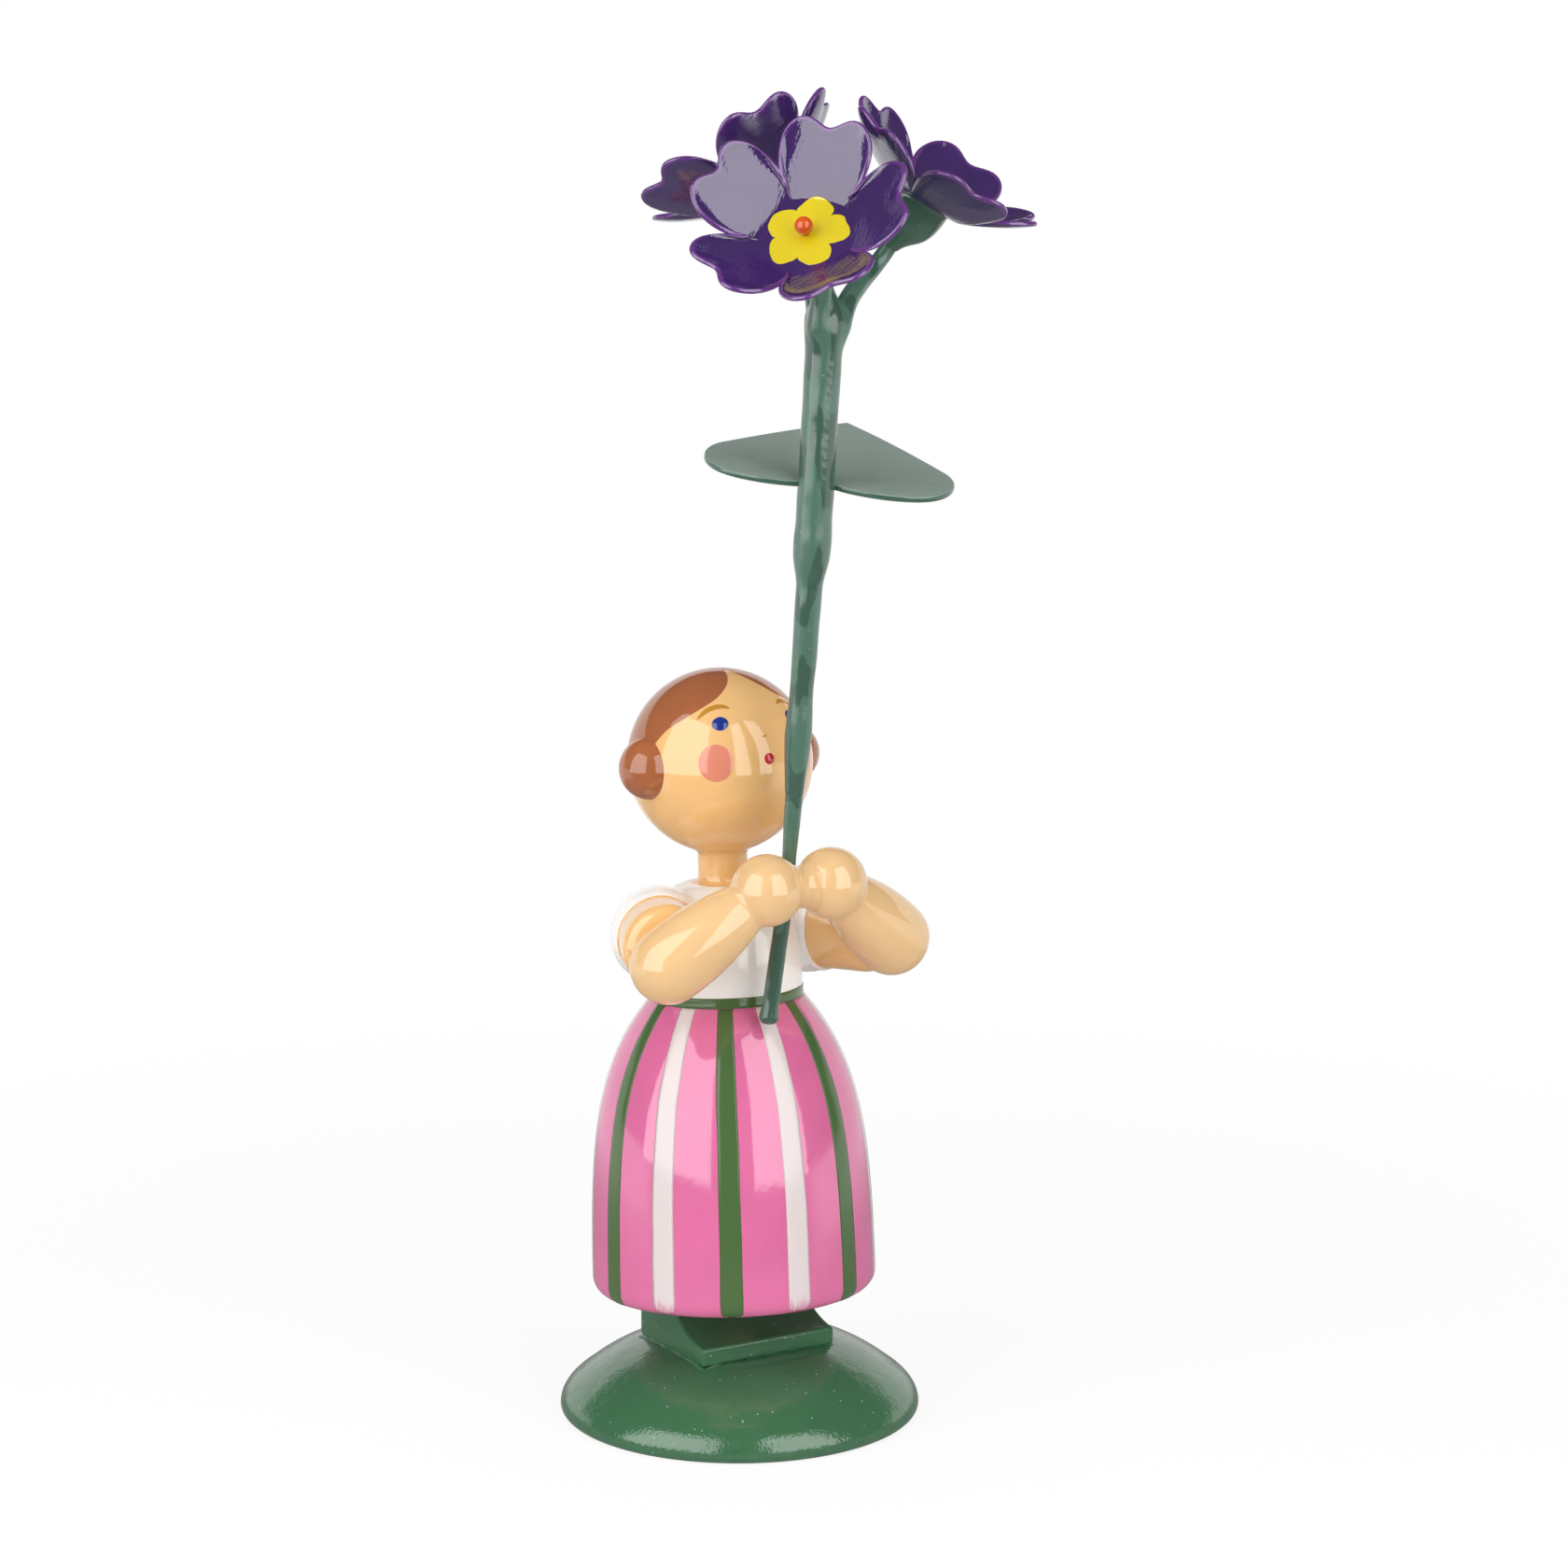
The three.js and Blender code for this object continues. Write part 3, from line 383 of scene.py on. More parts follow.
def lacquer(name, tint, mottle=0.10, gloss=0.05, peel=5.0e-6, ior=1.75, speck=0.0, lump=0.0,
            grain=1.7, painted_shade_patches=0.0):
    """Gloss paint over turned wood: faint clouding, orange peel, dust specks and, on the stem, painted
    shade as darker patches where its wavy gloss reflects little light.
    """
    pot = PaintPot(name)
    here = pot.place()
    cloud = pot.noise(here, 0.22, 3.0)
    fine = pot.noise(here, grain, 2.0)
    base = pot.tint(pot.ease(cloud, 0.3, 0.75) * mottle * 4.0, tuple(tint), darker(tint, 0.82))
    if speck:
        base = pot.tint(pot.dust(here, 0.95, 0.085) * speck, base, (0.6, 0.62, 0.58))
    rough = gloss + fine * 0.04 + pot.ease(cloud, 0.45, 0.8) * 0.03
    # Painted shade: darker, glossier patches stand in for the parts of the stem's wavy lacquer that reflect
    # little light.
    if painted_shade_patches:
        run = pot.ease(pot.noise(pot.stretched(here, (1.0, 1.0, 0.34)), 0.42, 1.0), 0.53, 0.555)
        base = pot.tint(run * painted_shade_patches, base, darker(tint, 0.62))
        rough = rough - run * 0.5 * gloss
    relief = fine + pot.noise(here, 0.5, 1.0) * 2.2
    normal = pot.bump(relief, peel)
    if lump:
        normal = pot.bump(pot.noise(here, 0.24, 1.0), lump, normal)
    return pot.coat(base, rough, normal, ior)


def brushed_paint(name, tint, worn, place, dry_below, dry_above):
    """Hand-brushed stripe paint: fine streaks along the stroke, thin where the brush lifts off."""
    pot = PaintPot(name)
    here = pot.place(place)
    z = pot.split(here)[2]
    streak = pot.noise(pot.stretched(here, (3.2, 3.2, 0.16)), 1.0, 3.0)
    end = 1.0 - pot.ease(z, dry_below, dry_above)
    thin = pot.ease(streak + end * 0.35, 0.62, 0.92)
    base = pot.tint(thin * (0.2 + 0.5 * end), tuple(tint), tuple(worn))
    rough = 0.10 + streak * 0.08 + end * 0.08
    return pot.coat(base, rough, pot.bump(streak, 6.0e-6))


def leaf_paint(name, tint, place):
    """Thin satin paint on veneer, with the fine grain showing through and a little dust on it; its tint
    carries a painted sheen.
    """
    pot = PaintPot(name)
    here = pot.place(place)
    grain = pot.noise(pot.stretched(here, (0.35, 3.4, 3.4)), 1.0, 4.0, 0.6)
    cloud = pot.noise(here, 0.35, 2.0)
    base = pot.tint(pot.ease(grain, 0.35, 0.75), tuple(tint), darker(tint, 0.80))
    base = pot.tint(pot.dust(here, 0.9, 0.10) * 0.30, base, (0.42, 0.47, 0.42))
    rough = 0.26 + grain * 0.14 + cloud * 0.08
    return pot.coat(base, rough, pot.bump(grain + cloud * 0.5, 1.6e-5), 1.5)


def petal_paint(name, paints):
    """Purple gloss with violet edges and a lobed yellow centre, in the blossom's own frame."""
    pot = PaintPot(name)
    bloom = pot.make("ShaderNodeAttribute", {"attribute_name": "bloom"}, output="Vector")
    rim = pot.make("ShaderNodeAttribute", {"attribute_name": "rim"}, output="Fac")
    inside = pot.make("ShaderNodeAttribute", {"attribute_name": "inside"}, output="Fac")
    x, y = pot.split(bloom)[:2]
    reach = pot.make("ShaderNodeVectorMath", {"operation": "LENGTH"},
                     {0: pot.stretched(bloom, (1.0, 1.0, 0.0))}, output="Value")
    turn = pot.make("ShaderNodeMath", {"operation": "ARCTAN2"}, {0: y, 1: x})
    lobe = abs(pot.make("ShaderNodeMath", {"operation": "COSINE"}, {0: turn * 2.5}))
    wander = pot.noise(bloom, 0.5, 1.0)
    edge = 2.45 + lobe ** 0.7 * 1.2 + (wander - 0.5) * 1.1
    yellow = (1.0 - pot.ease(reach - edge, -0.03, 0.03)) * pot.ease(inside, 0.4, 0.6)
    cloud = pot.noise(bloom, 0.35, 3.0)
    vein = pot.noise(pot.stretched(bloom, (0.55, 3.2, 3.2)), 1.0, 2.0)
    purple = pot.tint(pot.ease(cloud, 0.35, 0.75) * 0.6, tuple(paints.petal), darker(paints.petal, 0.7))
    fringe = pot.ease(rim + (vein - 0.5) * 0.03, 0.975, 1.0)
    purple = pot.tint(fringe * 0.65, purple, tuple(paints.petal_edge))
    sunny = pot.tint(pot.ease(cloud, 0.4, 0.8) * 0.5, tuple(paints.centre), darker(paints.centre, 0.86))
    base = pot.tint(yellow, purple, sunny)
    rough = 0.05 + vein * 0.04 + yellow * 0.05
    relief = vein + cloud * 0.8 + yellow * 2.0
    return pot.coat(base, rough, pot.bump(relief, 3.0e-5), 1.97)


def bare_wood(name, tint):
    pot = PaintPot(name)
    here = pot.place()
    grain = pot.noise(pot.stretched(here, (2.4, 2.4, 0.2)), 1.0, 4.0)
    base = pot.tint(pot.ease(grain, 0.35, 0.7), tuple(tint), darker(tint, 0.7))
    return pot.coat(base, 0.55 + grain * 0.2, pot.bump(grain, 2.0e-5), 1.45)


# Mesh helpers, in millimetres

def arc(centre_reach, centre_height, radius, start, end, steps):
    turns = np.linspace(start, end, steps)
    return [(centre_reach + radius * math.cos(t), centre_height + radius * math.sin(t)) for t in turns]


def bend(points, steps):
    """A Bezier curve of any degree, from its first control point to its last."""
    spots = [np.array(p, float) for p in points]
    out = []
    for t in np.linspace(0.0, 1.0, steps):
        layer = spots
        while len(layer) > 1:
            layer = [a * (1 - t) + b * t for a, b in zip(layer, layer[1:])]
        out.append(tuple(layer[0]))
    return out


def run_along(points):
    """How far along a line each of its points lies."""
    return np.concatenate([[0], np.cumsum(np.linalg.norm(np.diff(points, axis=0), axis=1))])


def joined(*runs):
    """Runs of profile points as one, without doubles where they meet."""
    out = []
    for run in runs:
        for point in run:
            if not out or math.dist(out[-1], point) > 1e-6:
                out.append(tuple(point))
    return out


def straight(start, end, steps):
    return [tuple(np.array(start) * (1 - t) + np.array(end) * t) for t in np.linspace(0.0, 1.0, steps)]


def lathe(profile, sides, *waver):
    """A closed turned form from a profile of (reach, height), foot first, with a ripple if given."""
    turns = np.arange(sides) * (2 * math.pi / sides)
    swell = ripple(turns, *waver) if waver else np.zeros(sides)
    points, rows = [], []
    for reach, height in profile:
        if reach < 1e-6:
            rows.append([len(points)] * sides)
            points.append((0.0, 0.0, height))
            continue
        rows.append(list(range(len(points), len(points) + sides)))
        for t, s in zip(turns, swell):
            points.append(((reach + s) * math.cos(t), (reach + s) * math.sin(t), height))
    faces = []
    for low, high in zip(rows, rows[1:]):
        for j in range(sides):
            k = (j + 1) % sides
            ring = [low[j], low[k], high[k], high[j]]
            face = [v for i, v in enumerate(ring) if v != ring[i - 1]]
            if len(set(face)) > 2:
                faces.append(face)
    return np.array(points), faces


def bands(many, around, first=0):
    """Faces between rings of points, ring after ring, counted from a first point on."""
    faces = []
    for r in range(many - 1):
        low, high = first + r * around, first + (r + 1) * around
        for i in range(around):
            k = (i + 1) % around
            faces.append([low + i, low + k, high + k, high + i])
    return faces


def skin(rings):
    """A closed skin over rings of equal count, each end closed with a fan."""
    rings = np.array(rings, float)
    many, around = rings.shape[:2]
    points = np.concatenate([rings.reshape(-1, 3), [rings[0].mean(0)], [rings[-1].mean(0)]])
    faces = bands(many, around)
    foot, top = many * around, many * around + 1
    last = (many - 1) * around
    for i in range(around):
        k = (i + 1) % around
        faces.append([foot, k, i])
        faces.append([top, last + i, last + k])
    return points, faces


def ripple(turns, seed, most, size):
    """A smooth closed ripple round a turned form, the same on every run."""
    dice = np.random.default_rng(seed)
    total = np.zeros_like(turns)
    for k in range(1, most + 1):
        total = total + np.cos(k * turns + dice.uniform(0, 2 * math.pi)) / k
    return total * size


def gathered(*parts):
    """Several meshes as one list of points and faces, and which part each face is from."""
    points, faces, origin, offset = [], [], [], 0
    for index, (spots, ring) in enumerate(parts):
        points.append(np.asarray(spots, float))
        faces.extend([[v + offset for v in face] for face in ring])
        origin.extend([index] * len(ring))
        offset += len(spots)
    return np.concatenate(points), faces, origin


def aimed(foot, direction):
    """A placing that lays +Z along a direction from a foot, in millimetres."""
    turn = Vector((0, 0, 1)).rotation_difference(Vector(direction)).to_matrix().to_4x4()
    return Matrix.Translation(Vector(foot)) @ turn


def moved(points, matrix):
    m = np.array(matrix)
    return np.asarray(points, float) @ m[:3, :3].T + m[:3, 3]


def plain_mesh(name, points, faces, place=Matrix.Identity(4)):
    mesh = bpy.data.meshes.new(name)
    mesh.from_pydata((np.asarray(points, float) * MM).tolist(), [], faces)
    mesh.transform(place)
    return mesh


def mesh_of(name, points, faces, place=Matrix.Identity(4)):
    """A plain mesh with doubles merged and its faces outward."""
    mesh = plain_mesh(name, points, faces, place)
    shell = bmesh.new()
    shell.from_mesh(mesh)
    bmesh.ops.remove_doubles(shell, verts=shell.verts, dist=1e-7)
    bmesh.ops.recalc_face_normals(shell, faces=shell.faces)
    shell.to_mesh(mesh)
    shell.free()
    return mesh


def tagged(mesh, label, values):
    """Gives each point of a mesh a number or a vector under a label."""
    values = np.asarray(values, np.float32)
    kind, key = ("FLOAT", "value") if values.ndim == 1 else ("FLOAT_VECTOR", "vector")
    mesh.attributes.new(label, kind, "POINT").data.foreach_set(key, values.ravel())


def linked(name, data):
    """A new object in the scene."""
    thing = bpy.data.objects.new(name, data)
    bpy.context.scene.collection.objects.link(thing)
    return thing


def cut_mesh(name, solid):
    """A finished bmesh in millimetres as a mesh in metres."""
    bmesh.ops.triangulate(solid, faces=[f for f in solid.faces if len(f.verts) > 4])
    mesh = bpy.data.meshes.new(name)
    solid.to_mesh(mesh)
    solid.free()
    mesh.transform(Matrix.Scale(MM, 4))
    return mesh


def add_piece(name, mesh, paints, nodes, owner=None):
    """Links a finished mesh, paints it and hands it to the frame."""
    piece = linked(name, mesh)
    mesh.materials.clear()
    for paint in paints:
        mesh.materials.append(paint)
    if owner is not None:
        mesh.polygons.foreach_set("material_index", np.asarray(owner, np.int32))
    mesh.polygons.foreach_set("use_smooth", np.ones(len(mesh.polygons), bool))
    mesh.update()
    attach(piece, BODY)
    if nodes:
        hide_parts(*nodes)
    return piece


def girl_place(body):
    return (Matrix.Translation((-body.aside, body.back, body.hem_height))
            @ Matrix.Rotation(-body.lean, 4, "X"))


def head_place(body):
    return (girl_place(body) @ Matrix.Translation((0, 0, body.head_centre))
            @ Matrix.Rotation(body.head_turn, 4, "Z"))


def elbow_of(arms, sign):
    return Vector((sign * arms.elbow_spread, -arms.elbow_forward, arms.elbow_height)) / MM


# Geometry node trees

LONG_LUMPS = (1.0, 1.0, 0.42)


class NodeTree:
    """A geometry node tree with named inputs, whose nodes are added in one line each."""

    def __init__(self, name, sockets):
        self.tree = bpy.data.node_groups.new(name, "GeometryNodeTree")
        sides = self.tree.interface
        sides.new_socket("Geometry", in_out="INPUT", socket_type="NodeSocketGeometry")
        self.ids = {}
        for label, kind, default in sockets:
            socket = sides.new_socket(label, in_out="INPUT", socket_type="NodeSocket" + kind)
            if default is not None:
                socket.default_value = default
            self.ids[label] = socket.identifier
        sides.new_socket("Geometry", in_out="OUTPUT", socket_type="NodeSocketGeometry")
        self.given = self.tree.nodes.new("NodeGroupInput").outputs
        self.end = self.tree.nodes.new("NodeGroupOutput")

    def add(self, kind, settings=None, links=None, output=0):
        """A new node, linked to sockets or set to plain values, by the output that is asked for."""
        node = self.tree.nodes.new(kind)
        for key, value in (settings or {}).items():
            setattr(node, key, value)
        for key, value in (links or {}).items():
            if isinstance(value, bpy.types.NodeSocket):
                self.tree.links.new(value, node.inputs[key])
            else:
                node.inputs[key].default_value = value
        return node.outputs[output]

    def vector(self, operation, links):
        return self.add("ShaderNodeVectorMath", {"operation": operation}, links)

    def waver(self, where, scale, detail, size, way):
        """A push along a direction by noise about nought, times a size."""
        noise = self.add("ShaderNodeTexNoise", {"noise_dimensions": "3D"}, {
            "Vector": where, "Scale": scale, "Detail": detail})
        centred = self.add("ShaderNodeMath", {"operation": "SUBTRACT"}, {0: noise, 1: 0.5})
        sized = self.add("ShaderNodeMath", {"operation": "MULTIPLY"}, {0: centred, 1: size})
        return self.vector("SCALE", {0: way, "Scale": sized})

    def finish(self, geometry):
        painted = self.add("GeometryNodeSetMaterial", None, {
            "Geometry": geometry, "Material": self.given["Paint"]})
        self.tree.links.new(painted, self.end.inputs[0])
        return self


def copies_tree():
    """Copies of one piece on spots, turned as each spot says, and nudged round the axis."""
    nodes = NodeTree("Copies on spots", [
        ("Copy", "Object", None), ("Waver", "Float", 0.0), ("Waver size", "Float", 100.0),
        ("Paint", "Material", None)])
    given, add = nodes.given, nodes.add
    copy = add("GeometryNodeObjectInfo", {"transform_space": "ORIGINAL"}, {"Object": given["Copy"]},
               "Geometry")
    turn = add("GeometryNodeInputNamedAttribute", {"data_type": "FLOAT_VECTOR"}, {"Name": "turn"})
    placed = add("GeometryNodeInstanceOnPoints", None, {
        "Points": given["Geometry"], "Instance": copy, "Rotation": turn}, "Instances")
    real = add("GeometryNodeRealizeInstances", None, {"Geometry": placed})
    here = add("GeometryNodeInputPosition")
    across = nodes.vector("NORMALIZE", {0: nodes.vector("CROSS_PRODUCT", {0: (0.0, 0.0, 1.0), 1: here})})
    nudge = nodes.waver(here, given["Waver size"], 1.0, given["Waver"], across)
    return nodes.finish(add("GeometryNodeSetPosition", None, {"Geometry": real, "Offset": nudge}))


def path_tree():
    """A round bar along a path, as thick as each point says, with soft lumps in its skin."""
    nodes = NodeTree("Bar along a path", [
        ("Sides", "Int", 24), ("Lump depth", "Float", 0.0), ("Lump scale", "Float", 400.0),
        ("Paint", "Material", None)])
    given, add = nodes.given, nodes.add
    line = add("GeometryNodeMeshToCurve", None, {"Mesh": given["Geometry"]})
    thick = add("GeometryNodeInputNamedAttribute", {"data_type": "FLOAT"}, {"Name": "thick"})
    sized = add("GeometryNodeSetCurveRadius", None, {"Curve": line, "Radius": thick})
    section = add("GeometryNodeCurvePrimitiveCircle", {"mode": "RADIUS"}, {
        "Resolution": given["Sides"], "Radius": 1.0})
    bar = add("GeometryNodeCurveToMesh", None, {
        "Curve": sized, "Profile Curve": section, "Fill Caps": True})
    if "Scale" in bar.node.inputs:
        nodes.tree.links.new(add("GeometryNodeInputRadius"), bar.node.inputs["Scale"])
    lengthwise = nodes.vector("MULTIPLY", {0: add("GeometryNodeInputPosition"), 1: LONG_LUMPS})
    lift = nodes.waver(lengthwise, given["Lump scale"], 1.5, given["Lump depth"],
                       add("GeometryNodeInputNormal"))
    lumpy = add("GeometryNodeSetPosition", None, {"Geometry": bar, "Offset": lift})
    return nodes.finish(add("GeometryNodeRealizeInstances", None, {"Geometry": lumpy}))


def grown(name, mesh, nodes, values):
    """The plain mesh that a node tree makes from a starting mesh."""
    seed = linked(name + "_seed", mesh)
    modifier = seed.modifiers.new("Nodes", "NODES")
    modifier.node_group = nodes.tree
    for label, value in values.items():
        modifier[nodes.ids[label]] = value
    result = settled(seed, name)
    bpy.data.objects.remove(seed)
    return result


def settled(piece, name):
    """A piece's mesh with its modifiers worked in."""
    bpy.context.view_layer.update()
    graph = bpy.context.evaluated_depsgraph_get()
    mesh = bpy.data.meshes.new_from_object(piece.evaluated_get(graph))
    mesh.name = name
    return mesh


def spots_mesh(name, places, turns):
    mesh = bpy.data.meshes.new(name)
    mesh.from_pydata([tuple(p) for p in places], [], [])
    tagged(mesh, "turn", turns)
    return mesh


def path_mesh(name, runs):
    """Open polylines, each a list of (point, thickness radius) in millimetres."""
    points, edges, radii = [], [], []
    for run in runs:
        first = len(points)
        for spot, radius in run:
            points.append(tuple(float(c) * MM for c in spot))
            radii.append(radius * MM)
        edges.extend((i, i + 1) for i in range(first, len(points) - 1))
    mesh = bpy.data.meshes.new(name)
    mesh.from_pydata(points, edges, [])
    tagged(mesh, "thick", radii)
    return mesh


# Plinth and shoe block

BEAD_INSET, BEAD_STEPS, BEAD_SINK, BEAD_FALL = 0.14, 26, 0.1, 0.75
BEAD_RADIUS, BEAD_LEFT_SWELL, BEAD_VARIES = 0.16, 0.15, 0.06
BEAD_LUMP, BEAD_LUMP_SCALE = 0.16, 1500.0


class FLOWERGIRL_OT_stand(bpy.types.Operator):
    """Makes the domed plinth, the shoe block and the bead of glue between them"""
    bl_idname = "flowergirl.stand"
    bl_label = "Plinth and shoes"

    def execute(self, context):
        stand, body, paints = settings(context, "stand", "body", "paints")
        green = lacquer("plinth_lacquer", paints.plinth, mottle=0.12, gloss=0.07, peel=3.2e-5, speck=0.6,
                        grain=3.6, ior=1.85)
        rim = stand.diameter / 2 / MM
        seat = stand.seat / 2 / MM
        top = stand.height / MM
        edge = stand.rim / MM
        soft = stand.rim_round / MM
        slope = np.array([seat - rim, top - edge])
        out = np.array([slope[1], -slope[0]]) / np.linalg.norm(slope) * 2 * stand.bulge / MM
        control = np.array([rim, edge]) + slope / 2 + out
        dome = bend([(rim, edge), tuple(control), (seat, top)], 60)
        start = next(i for i, p in enumerate(dome) if math.dist(p, dome[0]) > soft)
        shoulder = bend([(rim, 0.7), (rim, edge + soft * 0.2), dome[start]], 20)
        profile = joined(
            straight((0, 0), (rim - 0.8, 0), 4),
            arc(rim - 0.7, 0.7, 0.7, -math.pi / 2, 0.0, 9),
            shoulder,
            dome[start:],
            bend([(seat, top), (seat - 0.4, top + 0.06), (seat - 1.4, top + 0.05)], 5),
            [(0, top + 0.05)],
        )
        points, faces = lathe(profile, 192, 11, 9, 0.012)
        add_piece("plinth_turned", mesh_of("plinth", points, faces), [green], ["base_disc"])
        # Painted highlight: the shoes take the plinth's own green a tenth lighter, for the gloss on their
        # front faces; the glue bead takes it too.
        shoe_green_painted_lighter = lacquer("shoe_lacquer", darker(paints.plinth, 1.1), mottle=0.12, gloss=0.1, peel=3.2e-5,
                          speck=0.6, grain=3.6, ior=1.55)
        self.shoe(stand, body, shoe_green_painted_lighter)
        return {"FINISHED"}

    def shoe(self, stand, body, green):
        depth = stand.shoe_depth / MM
        high = stand.shoe_height / MM
        toe = stand.toe / MM
        front, heel = -depth / 2, depth / 2
        shin = heel - stand.leg / MM
        hollow = stand.hollow / MM
        sag = ((shin + front) / 2 + hollow, (high + toe) / 2 - hollow)
        side = joined(
            straight((heel, 0), (heel, high), 2),
            bend([(shin, high), sag, (front, toe)], 14),
            [(front, 0)],
        )
        half = stand.shoe_width / 2 / MM
        block = bmesh.new()
        rows = []
        for across in (-half, half):
            rows.append([block.verts.new((across, y - stand.forward / MM, z)) for y, z in side])
        block.faces.new(rows[0])
        block.faces.new(list(reversed(rows[1])))
        many = len(side)
        for i in range(many):
            k = (i + 1) % many
            block.faces.new((rows[0][i], rows[1][i], rows[1][k], rows[0][k]))
        bmesh.ops.recalc_face_normals(block, faces=block.faces)
        sharp = [e for e in block.edges if e.calc_face_angle(0) > math.radians(25)]
        bmesh.ops.bevel(block, geom=sharp, offset=stand.edge / MM, segments=4, profile=0.55, affect="EDGES")
        mesh = cut_mesh("shoe_block_cut", block)
        mesh.transform(Matrix.Translation((-body.aside, body.back, stand.height)))
        piece = add_piece("shoe_block_cut", mesh, [green], ["shoe_block"])
        piece.data.set_sharp_from_angle(angle=math.radians(38))
        self.bead(stand, body, green)

    def bead(self, stand, body, green):
        """A lumpy bead of glue and paint where the block meets the dome."""
        half = stand.shoe_width / 2 / MM - BEAD_INSET
        deep = stand.shoe_depth / 2 / MM - BEAD_INSET
        corners = [(-half, -deep), (half, -deep), (half, deep), (-half, deep), (-half, -deep)]
        dice = np.random.default_rng(5)
        seat = stand.seat / 2 / MM
        fall = (stand.height - stand.rim) / (stand.diameter / 2 - stand.seat / 2)
        run = []
        for (ax, ay), (bx, by) in zip(corners, corners[1:]):
            for t in np.linspace(0, 1, BEAD_STEPS)[:-1]:
                x = ax + (bx - ax) * t - body.aside / MM
                y = ay + (by - ay) * t - stand.forward / MM + body.back / MM
                reach = math.hypot(x, y)
                z = stand.height / MM - max(0.0, reach - seat) * fall * BEAD_FALL
                left = BEAD_LEFT_SWELL if ax == bx == -half else 0.0
                run.append(((x, y, z - BEAD_SINK), BEAD_RADIUS + left + BEAD_VARIES * dice.random()))
        run.append(run[0])
        mesh = grown("glue_bead", path_mesh("glue_path", [run]), path_tree(), {
            "Sides": 12, "Lump depth": BEAD_LUMP * MM, "Lump scale": BEAD_LUMP_SCALE, "Paint": green})
        add_piece("glue_bead", mesh, [green], [])


# Skirt

SKIRT_CONTROLS = ((12.8, 14.6), (12.1, 21.2))
STRIPE_TOP = 27.06
STRIPE_HEIGHTS = (0.0, 12.0, 20.0, 24.0, 27.0)
STRIPE_HALF_WIDTHS = (1.14, 1.07, 0.99, 0.88, 0.74)
STRIPE_END_ROUND = 0.8
STRIPE_LIFT = 0.028
STRIPE_ROOT = 0.08
STRIPE_STEPS, STRIPE_EDGE_SINK, STRIPE_END_SLOPE = 90, 0.010, 0.15
STRIPE_WAVER, STRIPE_WAVER_SCALE = 0.22, 170.0
GREEN_FOOT, WHITE_FOOT = 0.12, 0.30
BELT_SIDES = 220
BELT_ABOVE, BELT_BELOW, BELT_ROOT = 0.84, 0.16, 0.25


def skirt_side(body, steps):
    """Side of the skirt from hem to waist, as points of (reach, height)."""
    hem = (body.skirt / 2 / MM, body.hem_round / MM)
    waist = (body.waist / 2 / MM, body.skirt_height / MM)
    return bend([hem, *SKIRT_CONTROLS, waist], steps)


